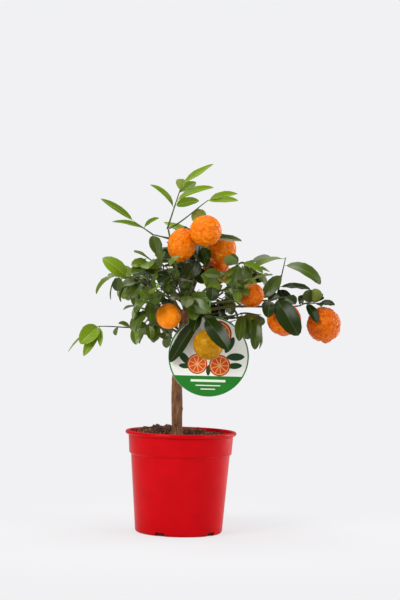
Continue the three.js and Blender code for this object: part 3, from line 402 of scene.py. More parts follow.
def label_gaps(points):
    flat = points * [1, 0, 1]
    middle = np.array([LABEL["x"], 0.0, LABEL["z"]])
    eye = np.array([LABEL["eye_x"], 0.0, LABEL["eye_z"]])
    disc = np.linalg.norm(flat - middle, axis=-1) - LABEL["radius"]
    neck = gaps(flat, middle[None], (eye - middle)[None])[0][:, 0] - LABEL["eye_radius"]
    out = np.maximum(0, np.minimum(disc, neck))
    proud = np.maximum(0, np.abs(points[:, 1] - LABEL["y"]) - LABEL["thickness"] / 2)
    return np.hypot(out, proud)


# Growth


def blade(root, direction, normal, length, width, arch):
    """Root, middle and tip of a leaf, bending down by "arch" degrees in all."""
    side = cross(direction, normal)
    point, last, places = root, 0.0, []
    for share in (0.0, LEAF["middle"], 1.0):
        way = turned(direction, side, -arch * (share + last) / 2)
        point = point + way * ((share - last) * length)
        last = share
        places.append(point)
    return {
        "places": np.array(places), "half": width / 2, "side": side, "root": root,
        "direction": direction, "normal": normal, "length": length, "arch": arch,
    }


def leaf_points(leaf):
    """Points of a leaf that have to be clear of what is round it."""
    root, middle, tip = leaf["places"]
    points = [tip]
    for end, t in ((root, 0.5), (middle, 0.0), (tip, 0.5)):
        centre = middle + (end - middle) * t
        across = leaf["side"] * (leaf["half"] * (1 - t))
        points += [centre, centre + across, centre - across]
    return np.array(points)


def spine(leaf):
    root, middle, tip = leaf["places"]
    outer = [middle + (tip - middle) * share for share in LEAF["spine"]]
    return np.array([(root + middle) / 2, middle, *outer, tip])


def outline(leaf):
    """The two faces of a leaf and the lines along their edges."""
    root, middle, tip = leaf["places"]
    start = root + (middle - root) * LEAF["off"]
    across = leaf["side"] * leaf["half"]
    left, right = middle - across, middle + across
    faces = np.array([[start, left, right], [left, right, tip]])
    edges = np.array([[start, left], [start, right], [left, right], [left, tip], [right, tip]])
    return faces, edges


def any_pierces(edges, faces):
    """Whether a line of the first set goes through a triangle of the second."""
    start = edges[:, None, 0]
    way = edges[:, None, 1] - start
    a, b, c = faces[None, :, 0], faces[None, :, 1], faces[None, :, 2]
    ab, ac = b - a, c - a
    normal = np.cross(ab, ac)
    slope = -(way * normal).sum(-1)
    offset = start - a
    with np.errstate(divide="ignore", invalid="ignore"):
        t = (offset * normal).sum(-1) / slope
        turn = np.cross(offset, way)
        u = (ac * turn).sum(-1) / slope
        v = -(ab * turn).sum(-1) / slope
    hit = (np.abs(slope) > 0) & (t >= 0) & (t <= 1) & (u >= 0) & (v >= 0) & (u + v <= 1)
    return bool(hit.any())


def shown_leaf(stem, at, tip, width, face, arch):
    """A leaf that is given by its place on the stem and its tip."""
    point, _ = along(stem, at)
    chord = vec(tip) - point
    direction = unit(chord)
    normal = facing(direction, face)
    side = cross(direction, normal)
    length = length_of(chord) * (1 + arch * arch / BEND_TAKES_UP)
    way, top = (turned(v, side, arch / 2) for v in (direction, normal))
    return blade(point, way, top, length, SHOWN_WIDTH * width, arch)


masses = []
for mass_name, row in MASSES.items():
    shown = [{**shown_leaf(stems[mass_name], *leaf[:5]), "young": leaf[5], "given": True}
             for leaf in row["shown"]]
    masses.append({"name": mass_name, "row": row, "stem": stems[mass_name], "shown": shown})
space_starts, space_ways, space_owner = [], [], []
for number, grown in enumerate(masses):
    starts, ways = segments([grown["stem"], *[leaf["places"] for leaf in grown["shown"]]])
    space_starts.append(starts)
    space_ways.append(ways)
    space_owner += [number] * len(starts)
space_starts = np.concatenate(space_starts)
space_ways = np.concatenate(space_ways)
space_owner = np.array(space_owner)


def room(number, points):
    """How far each point lies inside the space of a mass."""
    gap, _ = gaps(points, space_starts, space_ways)
    own = gap[:, space_owner == number].min(1)
    other = gap[:, space_owner != number].min(1)
    rival = fruit_gaps(points)[:, fruit_mass != number]
    other = np.minimum(other, np.maximum(0, rival.min(1)) + CLEAR["fruit_space"])
    return (other - own) / 2


def is_free(number, points):
    return bool(
        room(number, points).min() >= CLEAR["space"]
        and limb_gaps(points).min() >= CLEAR["limb"]
        and label_gaps(points).min() >= CLEAR["label"]
        and fruit_gaps(points).min() >= CLEAR["fruit"]
    )


def side_twig(start, direction, reach):
    """A side twig that sets off in its direction and turns up a little."""
    line, way = [start], direction
    for _ in range(TWIG["steps"]):
        line.append(line[-1] + way * (reach / TWIG["steps"]))
        way = unit(way + UP * (TWIG["lift"] / TWIG["steps"]))
    return np.array(line)


def grow_twigs(number, draw):
    row, stem = masses[number]["row"], masses[number]["stem"]
    twigs = [stem]
    stem_length = length_of(stem[-1] - stem[0])
    for i in range(row["twigs"]):
        place = TWIG["first"] + TWIG["span"] * (i + 0.5) / row["twigs"]
        share = place + draw(-TWIG["place_vary"], TWIG["place_vary"])
        point, axis = along(stem, share)
        turn = row["fan"] + i * TWIG["turn"] + draw(-TWIG["turn_vary"], TWIG["turn_vary"])
        out = around(axis, turn)
        spread = math.radians(draw(*TWIG["spread"]))
        direction = axis * math.cos(spread) + out * math.sin(spread)
        longest = TWIG["reach"] + stem_length * (TWIG["long_share"] - TWIG["share_lost"] * share)
        reach = longest * draw(*TWIG["vary"])
        for part in (1, TWIG["cut_back"]):
            line = side_twig(point, direction, part * reach)
            if is_free(number, line[1:]):
                twigs.append(line)
                break
    return twigs


def upper_face(point, direction):
    """Normal of a leaf's upper face: up, out from the middle of the crown and to the front,
    where the light comes from."""
    lean = UP + unit(point * [1, 1, 0]) * LEAF["out"] + FRONT * LEAF["front"]
    lean = lean - direction * float(lean @ direction)
    return square_to(direction)[1] if length_of(lean) < LEAF["least_lean"] else unit(lean)


def grow_leaves(number, twigs, leaves, counts, size, draw):
    """Adds leaves along the twigs where they are clear of everything round them."""
    row = masses[number]["row"]
    wood = np.concatenate([np.stack([line[:-1], line[1:]], 1) for line in twigs])
    spines = [spine(leaf) for leaf in leaves]
    outlines = [outline(leaf) for leaf in leaves]

    def crosses(leaf):
        faces, edges = outline(leaf)
        if any_pierces(wood, faces):
            return True
        if not outlines:
            return False
        others = np.concatenate([other[0] for other in outlines])
        lines = np.concatenate([other[1] for other in outlines])
        return any_pierces(edges, others) or any_pierces(lines, faces)

    for k, line in enumerate(twigs):
        if not counts[k]:
            continue
        first_turn = draw(0, 360)
        for j in range(counts[k]):
            at_end = j == counts[k] - 1
            place = LEAF["first"] + LEAF["span"] * (j + LEAF["offset"]) / counts[k]
            share = LEAF["end"] if at_end else place
            point, axis = along(line, share)
            spread = math.radians(LEAF["end_spread"] if at_end else draw(*LEAF["spread"]))
            lay = draw(*LEAF["lay"])
            length = row["leaf"] * draw(*LEAF["vary"]) * size[k]
            arch = draw(*LEAF["arch"])
            droop = row["droop"] * draw(*LEAF["droop"])
            young = draw() < row["fresh"] * (LEAF["young_base"] + LEAF["young_tip"] * share)
            width = length * LEAF["young_width" if young else "width"]
            for attempt in range(2 * LEAF["tries"]):
                scale = 1 if attempt < LEAF["tries"] else LEAF["small"]
                out = around(axis, first_turn + j * LEAF["turn"] + attempt * LEAF["retry_turn"])
                way = axis * math.cos(spread) + out * math.sin(spread) - UP * droop
                way = unit(way)
                normal = turned(upper_face(point, way), way, lay)
                leaf = blade(point, way, normal, scale * length, scale * width, arch)
                least = LEAF["near_share"] * scale * length
                own = spine(leaf)
                if spines:
                    others = np.concatenate(spines)
                    if (np.linalg.norm(own[:, None] - others, axis=-1) < least).any():
                        continue
                if crosses(leaf) or not is_free(number, leaf_points(leaf)):
                    continue
                leaf["young"] = float(young)
                leaf["twig"] = k
                leaves.append(leaf)
                spines.append(own)
                outlines.append(outline(leaf))
                break
    return leaves


# Finer twigs, which the part leaves out: shares of the twig that carries them, how long
# they are against it, the leaves on each and the size of those
FINE = {
    "places": (0.34, 0.68), "length": (0.34, 0.56), "least": 9, "most": 30,
    "leaves": 2, "size": 0.92, "seed": 500, "radius": 0.85, "tip_radius": 0.5,
}
# Masses that stay open: every twig of theirs shows against the light
OPEN_MASSES = {
    "top_fruit", "right_up", "right_mid", "right_end", "right_under", "left_fork", "left_under",
    "centre_right", "front_low", "back_left", "back_low",
}


def grow_fine(number, twigs, draw):
    """Short twigs on every twig, by the same angles."""
    fine = []
    for k, line in enumerate(twigs):
        whole = length_of(line[-1] - line[0])
        for i, share in enumerate(FINE["places"]):
            point, axis = along(line, share)
            out = around(axis, draw(0, 360) + i * TWIG["turn"])
            spread = math.radians(draw(*TWIG["spread"]))
            direction = axis * math.cos(spread) + out * math.sin(spread)
            reach = min(FINE["most"], max(FINE["least"], whole * draw(*FINE["length"])))
            line_out = side_twig(point, direction, reach)
            if is_free(number, line_out[1:]):
                fine.append(line_out)
    return fine


def grow_mass(number):
    grown = masses[number]
    row = grown["row"]
    draw = dice(row["seed"])
    twigs = grow_twigs(number, draw)
    leaves = [dict(leaf, twig=0) for leaf in grown["shown"] if is_free(number, leaf_points(leaf))]
    extra = LEAF["on_stem"] if row["leaves"] > 1 else 0
    counts = [row["leaves"] + (extra if k == 0 else 0) for k in range(len(twigs))]
    size = [1 if k == 0 else LEAF["on_side_twig"] for k in range(len(twigs))]
    leaves = grow_leaves(number, twigs, leaves, counts, size, draw)
    grown["twigs"], grown["leaves"], grown["fine"] = twigs, leaves, []
    if row["twigs"] and grown["name"] not in OPEN_MASSES:
        draw = dice(row["seed"] + FINE["seed"])
        fine = grow_fine(number, twigs, draw)
        grown["fine"] = fine
        lines = twigs + fine
        counts = [0] * len(twigs) + [FINE["leaves"]] * len(fine)
        grow_leaves(number, lines, leaves, counts, [FINE["size"]] * len(lines), draw)


for number in range(len(masses)):
    grow_mass(number)

# Meshes


def linked(name, data):
    """A new object at the origin, in the scene."""
    made = bpy.data.objects.new(name, data)
    bpy.context.scene.collection.objects.link(made)
    return made


def shade(mesh, sharp):
    """Smooth shading, with the edges kept that turn by more than some degrees."""
    mesh.shade_smooth()
    if sharp:
        mesh.set_sharp_from_angle(angle=math.radians(sharp))


def mesh_object(name, points, faces, materials, face_materials=None, sharp=0, unit=MM):
    """An object at the origin with its place in its mesh. Points are in millimetres, unless
    another unit is given."""
    mesh = bpy.data.meshes.new(name)
    mesh.from_pydata((np.asarray(points, float) * unit).tolist(), [], faces)
    for material in materials:
        mesh.materials.append(material)
    if face_materials is not None:
        mesh.polygons.foreach_set("material_index", np.asarray(face_materials, np.int32))
    shade(mesh, sharp)
    mesh.validate()
    return linked(name, mesh)


def join(points, faces, more_points, more_faces):
    """Adds the points and faces of one mesh to those of another."""
    base = len(points)
    points.extend(more_points)
    faces.extend(tuple(base + i for i in face) for face in more_faces)


def lists_of(bm):
    """Points and faces of a bmesh, which is freed."""
    bm.verts.index_update()
    points = [vec(v.co) for v in bm.verts]
    faces = [tuple(v.index for v in face.verts) for face in bm.faces]
    bm.free()
    return points, faces


def finished(source, name):
    """The evaluated object as a plain mesh in a new object. The source is removed."""
    evaluated = source.evaluated_get(bpy.context.evaluated_depsgraph_get())
    mesh = bpy.data.meshes.new_from_object(evaluated)
    bpy.data.objects.remove(source)
    made = linked(name, mesh)
    mesh.name = name
    return made


def node(tree, kind, inputs=(), **settings):
    """Adds a node. An input takes a value, or a link where it is given a socket."""
    made = tree.nodes.new(kind)
    for key, value in settings.items():
        setattr(made, key, value)
    for key, value in dict(inputs).items():
        if isinstance(value, bpy.types.NodeSocket):
            tree.links.new(value, made.inputs[key])
        else:
            made.inputs[key].default_value = value
    return made


def shape_tree(name, values):
    """A new tree of Geometry Nodes with named inputs, and the sockets that they give."""
    tree = bpy.data.node_groups.new(name, "GeometryNodeTree")
    tree.interface.new_socket("Geometry", in_out="INPUT", socket_type="NodeSocketGeometry")
    for key, value in values.items():
        kind = "NodeSocketInt" if isinstance(value, int) else "NodeSocketFloat"
        tree.interface.new_socket(key, in_out="INPUT", socket_type=kind).default_value = value
    tree.interface.new_socket("Material", in_out="INPUT", socket_type="NodeSocketMaterial")
    tree.interface.new_socket("Geometry", in_out="OUTPUT", socket_type="NodeSocketGeometry")
    return tree, node(tree, "NodeGroupInput").outputs


def end_tree(tree, shape, material):
    """Ends a tree with real faces of one material."""
    real = node(tree, "GeometryNodeRealizeInstances", {0: shape})
    painted = node(tree, "GeometryNodeSetMaterial", {"Geometry": real.outputs[0], "Material": material})
    node(tree, "NodeGroupOutput", {0: painted.outputs[0]})
    return tree


def run_tree(source, tree, name, **inputs):
    """Runs a tree on an object and keeps the result as a plain mesh."""
    changer = source.modifiers.new("shape", "NODES")
    changer.node_group = tree
    for item in tree.interface.items_tree:
        if item.in_out == "INPUT" and item.name in inputs:
            changer[item.identifier] = inputs[item.name]
    return finished(source, name)


# Materials


def linear(code):
    """Linear colour of an sRGB hex code."""
    parts = [int(code[i : i + 2], 16) / 255 for i in (1, 3, 5)]
    return [p / 12.92 if p <= 0.04045 else ((p + 0.055) / 1.055) ** 2.4 for p in parts] + [1]


def surface(name, colour, roughness, **inputs):
    """A material with its Principled shader, to which patterns are then added."""
    made = bpy.data.materials.new(name)
    made.use_nodes = True
    shader = made.node_tree.nodes["Principled BSDF"]
    shader.inputs["Base Color"].default_value = linear(colour)
    shader.inputs["Roughness"].default_value = roughness
    for key, value in inputs.items():
        shader.inputs[key.replace("_", " ")].default_value = value
    return made, made.node_tree, shader


def grain(tree, size_mm, detail=3, stretch=(1, 1, 1), attribute=None):
    """Noise with features of a real size, on Object coordinates or on an attribute."""
    if attribute:
        place = node(tree, "ShaderNodeAttribute", attribute_name=attribute).outputs["Vector"]
        scale = [1 / (size_mm * s) for s in stretch]
    else:
        place = node(tree, "ShaderNodeTexCoord").outputs["Object"]
        scale = [1 / (MM * size_mm * s) for s in stretch]
    placed = node(tree, "ShaderNodeMapping", {"Vector": place, "Scale": scale})
    spots = node(tree, "ShaderNodeTexNoise",
                 {"Vector": placed.outputs[0], "Scale": 1.0, "Detail": detail})
    return spots.outputs["Fac"]


def ramp(tree, value, stops):
    """A colour ramp from (place, hex code) pairs."""
    made = node(tree, "ShaderNodeValToRGB", {"Fac": value})
    band = made.color_ramp
    while len(band.elements) < len(stops):
        band.elements.new(0.5)
    for element, (place, code) in zip(band.elements, stops):
        element.position = place
        element.color = linear(code)
    return made.outputs["Color"]


def relief(tree, shader, height, depth_mm):
    """Bump of a real depth from a height of 0 to 1."""
    bump = node(tree, "ShaderNodeBump", {"Height": height, "Distance": depth_mm * MM})
    tree.links.new(bump.outputs["Normal"], shader.inputs["Normal"])


def finish_of(name, code, roughness, grit, depth_mm, spots=None, stops=None, **inputs):
    """A material with a fine relief and, where stops are given, soft spots of their colours.
    Grit and spots are (size in mm, detail of the noise)."""
    made, tree, shader = surface(name, code, roughness, **inputs)
    if stops:
        tree.links.new(ramp(tree, grain(tree, *spots), stops), shader.inputs["Base Color"])
    relief(tree, shader, grain(tree, *grit), depth_mm)
    return made


# Polypropylene, injection moulded: saturated red that sheens softly where it turns to the light
pot_plastic = finish_of(
    "polypropylene_moulded", "#C6000C", 0.3, grit=(0.5, 2), depth_mm=0.012, spots=(30, 2),
    stops=[(0.3, "#C10008"), (0.7, "#CB000E")], IOR=1.49, Specular_IOR_Level=0.08,
)

# Peat and composted bark, loose: dark brown and matt, with paler crumbs of bark
peat = finish_of(
    "peat_loose", "#3C2A1D", 0.96, grit=(1.2, 3), depth_mm=0.5, spots=(5, 4),
    stops=[(0.3, "#150A05"), (0.5, "#371C0F"), (0.72, "#6A3F26")],
)
crumb_peat = finish_of(
    "peat_crumbs", "#4A3020", 0.95, grit=(0.8, 3), depth_mm=0.3, spots=(2.4, 2),
    stops=[(0.36, "#24120A"), (0.5, "#5E361F"), (0.66, "#9C6C42")],
)

# Second-year twigs: thin brown-green bark, a little shiny
old_twig = finish_of(
    "twig_bark", "#3B3A20", 0.6, grit=(1.0, 3), depth_mm=0.15, spots=(6, 3),
    stops=[(0.35, "#302C1A"), (0.65, "#4B4C2B")],
)
# This year's twigs: smooth green skin
new_twig = finish_of(
    "twig_skin", "#42571F", 0.5, grit=(0.8, 2), depth_mm=0.06, spots=(8, 2),
    stops=[(0.35, "#374A19"), (0.65, "#566D2B")],
)
# Calyx, grown: a dull green skin
calyx_skin = finish_of("calyx_skin", "#5C7A2E", 0.55, grit=(0.8, 2), depth_mm=0.1)

# Young citrus bark, grown: tan and grey-brown streaks along the wood, matt, and green where
# it is thin. The place in the pattern and the age come from the wood's own mesh.
BARK_TAN = [(0.25, "#3F2615"), (0.45, "#6E4527"), (0.6, "#855A36"), (0.8, "#A8835E")]
BARK_GREEN = [(0.3, "#3B4420"), (0.7, "#5E6A34")]
bark, tree, shader = surface("citrus_bark", "#7A5A3E", 0.82)
streaks = ramp(tree, grain(tree, 2.6, 4, (1, 1, 7), "bark_grain"), BARK_TAN)
green = ramp(tree, grain(tree, 2.0, 3, (1, 1, 5), "bark_grain"), BARK_GREEN)
age = node(tree, "ShaderNodeAttribute", attribute_name="bark_age").outputs["Fac"]
both = node(tree, "ShaderNodeMix", {0: age, 6: green, 7: streaks}, data_type="RGBA")
tree.links.new(both.outputs[2], shader.inputs["Base Color"])
relief(tree, shader, grain(tree, 1.1, 4, (1, 1, 5), "bark_grain"), 0.35)

# Leaves, grown: a waxy skin that shines on top, duller and paler beneath. Each spray has
# one of these plain tints: name, top, midrib, underside, roughness of the top and its gloss.
TINTS = {
    "deep": ("#1F2D07", "#43551D", "#586838", 0.26, 0.17),
    "mid": ("#43560E", "#697B29", "#6E8043", 0.3, 0.4),
    "fresh": ("#5A6F12", "#819732", "#7F924B", 0.33, 0.4),
    "young": ("#5A7408", "#8BA336", "#899D47", 0.4, 0.2),
    "pale": ("#728E12", "#9FB548", "#93A748", 0.42, 0.2),
}
RIB_ROUGHNESS = 0.45
UNDERSIDE_ROUGHNESS = 0.6
leaf_skins = {}
for tint, (top, rib, under, rough, gloss) in TINTS.items():
    leaf_skins[tint] = [
        finish_of(f"leaf_{tint}_{part}", code, roughness, grit=(7, 2), depth_mm=0.07,
                  Specular_IOR_Level=gloss)
        for part, code, roughness in (
            ("top", top, rough), ("rib", rib, RIB_ROUGHNESS), ("under", under, UNDERSIDE_ROUGHNESS),
        )
    ]

# Rind of each finish: a skin that is a little oily and glints on its oil glands, on blisters
# about 5 mm wide, with painted shade in the creases between them. Colours, then depth of the blisters,
# which also sets how deep the painted shade is.
# The glands are 1.4 mm apart on a real rind and drawn 2.8 mm apart, to show from here.
RINDS = {
    "bumpy": ([(0.15, "#DA5400"), (0.48, "#EE7602"), (0.85, "#FA9A1C")], 0.45),
    "smooth": ([(0.2, "#F87A00"), (0.5, "#FF8C06"), (0.8, "#FFA31C")], 0.08),
    # Deep: partly a riper red-orange, partly painted shade for fruit that hang in shade
    "deep": ([(0.15, "#AE3A00"), (0.48, "#D35E02"), (0.85, "#EC8210")], 0.45),
    "turning": ([(0.2, "#9C6200"), (0.5, "#B47C00"), (0.8, "#CC960E")], 0.12),
}
RIND = {
    "roughness": 0.32, "gloss": 0.12, "gland": 2.8, "blister": 5, "crease_shade": -0.7, "lighter": 0.34,
    "hollow": -7, "depth": 0.42,
}


def rind_of(name, stops, blister):
    """A rind whose relief follows its blisters, with painted shade in its colour in the creases between
    them.
    """
    made, tree, shader = surface(name, stops[1][1], RIND["roughness"], Specular_IOR_Level=RIND["gloss"])
    place = node(tree, "ShaderNodeTexCoord").outputs["Object"]
    glands = node(tree, "ShaderNodeTexVoronoi", {"Vector": place, "Scale": 1 / (RIND["gland"] * MM)})
    cells = node(tree, "ShaderNodeTexVoronoi", {"Vector": place, "Scale": 1 / (RIND["blister"] * MM)},
                 feature="SMOOTH_F1")
    from_middle = cells.outputs["Distance"]
    # Painted shade: the colour sinks towards the edge of each blister, where the relief falls into a crease
    painted_crease_shade = node(tree, "ShaderNodeMath", {0: from_middle, 1: RIND["crease_shade"] * blister},
                  operation="MULTIPLY")
    tone = node(tree, "ShaderNodeMath", {0: grain(tree, 7, 3), 1: painted_crease_shade.outputs[0]}, operation="ADD")
    lifted = node(tree, "ShaderNodeMath", {0: tone.outputs[0], 1: RIND["lighter"] * blister},
                  operation="ADD")
    tree.links.new(ramp(tree, lifted.outputs[0], stops), shader.inputs["Base Color"])
    hollow = node(tree, "ShaderNodeMath", {0: from_middle, 1: RIND["hollow"] * blister},
                  operation="MULTIPLY")
    height = node(tree, "ShaderNodeMath", {0: hollow.outputs[0], 1: glands.outputs["Distance"]},
                  operation="ADD")
    relief(tree, shader, height.outputs[0], RIND["depth"])
    return made


rind_skins = {finish: rind_of(f"rind_{finish}", *row) for finish, row in RINDS.items()}

# Coated card with printed inks: even colour with a soft gloss
PRINTS = {
    "card": "#EFEFEA", "field": "#EFF1EA", "green": "#227A26", "pale": "#E9F0DC",
    "orange": "#B5300A", "pith": "#E8B070", "leaf": "#1B431E", "juice": "#CE4E10",
}
prints = [
    finish_of(f"card_{ink}", code, 0.3, grit=(0.6, 2), depth_mm=0.01, IOR=1.5,
              Specular_IOR_Level=0.25)
    for ink, code in PRINTS.items()
]

# Pot and soil

collar_foot_z = POT["height"] - POT["rim_height"] - POT["collar_height"]
body_top_z = collar_foot_z - POT["step_height"]


def lathe(profile, segments_round):
    """Closed shape from (radius, height) pairs that start and end on the axis."""
    points, faces = [[0, 0, profile[0][1]]], []
    turns = [2 * math.pi * k / segments_round for k in range(segments_round)]
    for r, z in profile[1:-1]:
        points += [[r * math.cos(t), r * math.sin(t), z] for t in turns]
    points.append([0, 0, profile[-1][1]])
    rings = len(profile) - 2
    for k in range(segments_round):
        n = (k + 1) % segments_round
        faces.append((0, 1 + n, 1 + k))
        for ring in range(rings - 1):
            low, high = 1 + ring * segments_round, 1 + (ring + 1) * segments_round
            faces.append((low + k, low + n, high + n, high + k))
        low = 1 + (rings - 1) * segments_round
        faces.append((low + k, low + n, len(points) - 1))
    return points, faces


def rounded(middle, radius, first, last, steps):
    """Points of an arc in the (radius, height) plane. Angles are degrees."""
    angles = [math.radians(first + (last - first) * i / steps) for i in range(steps + 1)]
    return [(middle[0] + radius * math.cos(a), middle[1] + radius * math.sin(a)) for a in angles]


def make_pot():
    foot, corner, wall = POT["foot_radius"], POT["corner"], POT["wall"]
    body, collar, collar_top = POT["body_top"], POT["collar_foot"], POT["collar_top"]
    rim_radius, height, rim = POT["rim_radius"], POT["height"], POT["rim_height"] / 2
    step, lip = POT["step_round"], POT["rim_round"]
    step_in, step_down = POT["under_step"]
    rim_in, rim_down = POT["under_rim"]
    inner = rim_radius - POT["rim_width"]
    profile = [
        (0, 0),
        *rounded((foot - corner, corner), corner, -90, -3, 8),
        (body - step_in, body_top_z - step_down),
        (body, body_top_z - step),
        *rounded((body + step, body_top_z - step), step, 180, 90, 4)[1:],
        *rounded((collar - step, collar_foot_z - POT["collar_drop"] + step), step, -90, 0, 4),
        (collar_top - rim_in, height - 2 * rim - rim_down),
        *rounded((rim_radius - rim, height - rim), rim, -100, 90, 14),
        *rounded((inner + lip, height - lip), lip, 90, 180, 4),
        (collar_top - wall, height - 2 * rim),
        (collar - wall, collar_foot_z),
        (body - wall, body_top_z),
        (foot - wall, corner + POT["inner_foot"]),
        (foot - corner, POT["floor"]),
        (0, POT["floor"]),
    ]
    pot = mesh_object("pot_body", *lathe(profile, POT["sides"]), [pot_plastic])
    cutters = []
    for i in range(NOTCH["count"]):
        turn = Matrix.Rotation(math.radians(NOTCH["first"] + 360 * i / NOTCH["count"]), 3, "Z")
        size = (NOTCH["depth"], NOTCH["width"], 2 * NOTCH["height"])
        bm = bmesh.new()
        bmesh.ops.create_cube(bm, size=1)
        bmesh.ops.scale(bm, vec=size, verts=bm.verts)
        bmesh.ops.bevel(bm, geom=bm.edges[:], offset=NOTCH["round"], segments=3, affect="EDGES")
        bmesh.ops.translate(bm, vec=(foot, 0, 0), verts=bm.verts)
        bmesh.ops.rotate(bm, matrix=turn, verts=bm.verts)
        bmesh.ops.scale(bm, vec=(MM,) * 3, verts=bm.verts)
        mesh = bpy.data.meshes.new(f"notch_{i}")
        bm.to_mesh(mesh)
        bm.free()
        cutters.append(linked(f"notch_{i}", mesh))
        cut = pot.modifiers.new(f"notch_{i}", "BOOLEAN")
        cut.object, cut.operation, cut.solver = cutters[-1], "DIFFERENCE", "EXACT"
    bpy.context.view_layer.update()
    pot = finished(pot, "pot_moulded")
    for cutter in cutters:
        bpy.data.objects.remove(cutter)
    shade(pot.data, POT["sharp"])
    return pot


def lump(x, y, layer_name):
    """Height of one layer of lumps in the soil."""
    width, layer, height = SOIL_LUMPS[layer_name]
    return height * noise.noise(Vector((x / width, y / width, layer)))


def bank(x, y, rise, azimuth):
    """Rise of the soil towards one side, which fades round to the other."""
    turn = math.atan2(y, x) - math.radians(azimuth)
    return rise * ((1 + math.cos(turn)) / 2) ** 2


def soil_height(x, y, radius):
    """Height of the soil, banked up towards the back left and, less, towards the right."""
    out = min(1, math.hypot(x, y) / radius)
    banks = bank(x, y, *SOIL["back_bank"]) * math.sin(math.pi * out ** SOIL["bank_power"])
    banks += bank(x, y, *SOIL["side_bank"]) * out
    from_trunk = math.hypot(x - TRUNK[0][1], y)
    ease = min(1, max(0, (from_trunk - SOIL["flat_to"]) / SOIL["flat_fade"]))
    rough = SOIL["least_lump"] + (1 - SOIL["least_lump"]) * ease
    lumps = SOIL["lump"] * (lump(x, y, "broad") + lump(x, y, "small")) * rough + lump(x, y, "fine")
    return SOIL["level"] + SOIL["crown"] + banks * ease + lumps


# Crumbs of bark and peat on the soil, in metres: how many on a square metre, the radius of
# the smallest and the largest, how far from the middle and how low they lie
CRUMBS = {
    "Density": 26000.0, "Small": 0.0011, "Large": 0.0046, "Reach": 0.0860, "Lowest": 0.16, "Seed": 4,
}
CRUMB_DENTS = {"count": 1.3, "depth": 1.5}
CRUMB_SHAPES = ((0.7, 0.6, 0.45), (1.3, 1.0, 0.9))  # flattest and fullest
FEW_LARGE = 2.5  # the power that makes large crumbs rare
FULL_TURN = (6.283,) * 3  # radians round each axis


def crumb_tree():
    """Scatters dented crumbs of all sizes over the top of the soil."""
    tree, given = shape_tree("crumbs", CRUMBS)
    place = node(tree, "GeometryNodeInputPosition").outputs[0]
    height = node(tree, "ShaderNodeSeparateXYZ", {0: place}).outputs[2]
    above = node(tree, "FunctionNodeCompare", {0: height, 1: given["Lowest"]}, operation="GREATER_THAN")
    level = node(tree, "ShaderNodeVectorMath", {0: place, 1: (1.0, 1.0, 0.0)}, operation="MULTIPLY")
    out = node(tree, "ShaderNodeVectorMath", {0: level.outputs[0]}, operation="LENGTH")
    inner = node(tree, "FunctionNodeCompare", {0: out.outputs["Value"], 1: given["Reach"]},
                 operation="LESS_THAN")
    open_top = node(tree, "FunctionNodeBooleanMath", {0: above.outputs[0], 1: inner.outputs[0]})
    dots = node(tree, "GeometryNodeDistributePointsOnFaces",
                {"Mesh": given["Geometry"], "Selection": open_top.outputs[0],
                 "Density": given["Density"], "Seed": given["Seed"]})

    ball = node(tree, "GeometryNodeMeshIcoSphere", {"Radius": 1.0, "Subdivisions": 2})
    dent = node(tree, "ShaderNodeTexNoise",
                {"Vector": place, "Scale": CRUMB_DENTS["count"], "Detail": 2.0})
    shift = node(tree, "ShaderNodeVectorMath", {0: dent.outputs["Color"], 1: (0.5, 0.5, 0.5)},
                 operation="SUBTRACT")
    push = node(tree, "ShaderNodeVectorMath", {0: shift.outputs[0], "Scale": CRUMB_DENTS["depth"]},
                operation="SCALE")
    crumb = node(tree, "GeometryNodeSetPosition",
                 {"Geometry": ball.outputs["Mesh"], "Offset": push.outputs[0]})

    size = node(tree, "FunctionNodeRandomValue", {2: 0.0, 3: 1.0, "Seed": given["Seed"]},
                data_type="FLOAT")
    skew = node(tree, "ShaderNodeMath", {0: size.outputs[1], 1: FEW_LARGE}, operation="POWER")
    radius = node(tree, "ShaderNodeMapRange",
                  {"Value": skew.outputs[0], "To Min": given["Small"], "To Max": given["Large"]})
    spin = node(tree, "FunctionNodeRandomValue", {0: (0, 0, 0), 1: FULL_TURN, "Seed": given["Seed"]},
                data_type="FLOAT_VECTOR")
    flat = node(tree, "FunctionNodeRandomValue",
                {0: CRUMB_SHAPES[0], 1: CRUMB_SHAPES[1], "Seed": given["Seed"]},
                data_type="FLOAT_VECTOR")
    scale = node(tree, "ShaderNodeVectorMath", {0: flat.outputs[0], "Scale": radius.outputs[0]},
                 operation="SCALE")
    crumbs = node(tree, "GeometryNodeInstanceOnPoints",
                  {"Points": dots.outputs["Points"], "Instance": crumb.outputs[0],
                   "Rotation": spin.outputs[0], "Scale": scale.outputs[0]})
    return end_tree(tree, crumbs.outputs[0], given["Material"])


def make_soil():
    gap = SOIL["wall_gap"]
    inside = POT["wall"] + gap
    top_radius = POT["collar_top"] - inside - SOIL["top_in"]
    rings, spokes, level = SOIL["rings"], SOIL["spokes"], SOIL["level"]
    sides = [
        (POT["foot_radius"] - POT["corner"] - gap, POT["floor"] + gap),
        (POT["foot_radius"] - inside, POT["corner"] + SOIL["foot_up"]),
        (POT["body_top"] - inside, body_top_z + SOIL["step_up"]),
        (POT["collar_foot"] - inside, collar_foot_z + gap),
    ]
    top = [(top_radius * (1 - i / rings), level) for i in range(rings)]
    points, faces = lathe([(0, sides[0][1]), *sides, *top, (0, level)], spokes)
    for point in points[1 + len(sides) * spokes :]:
        point[2] = soil_height(point[0], point[1], top_radius)
    soil = mesh_object("soil_ground", points, faces, [peat])
    crumbs = run_tree(linked("ground", soil.data.copy()), crumb_tree(), "soil_crumbs", Material=crumb_peat)
    crumbs.data.shade_smooth()
    return soil, crumbs


# Wood

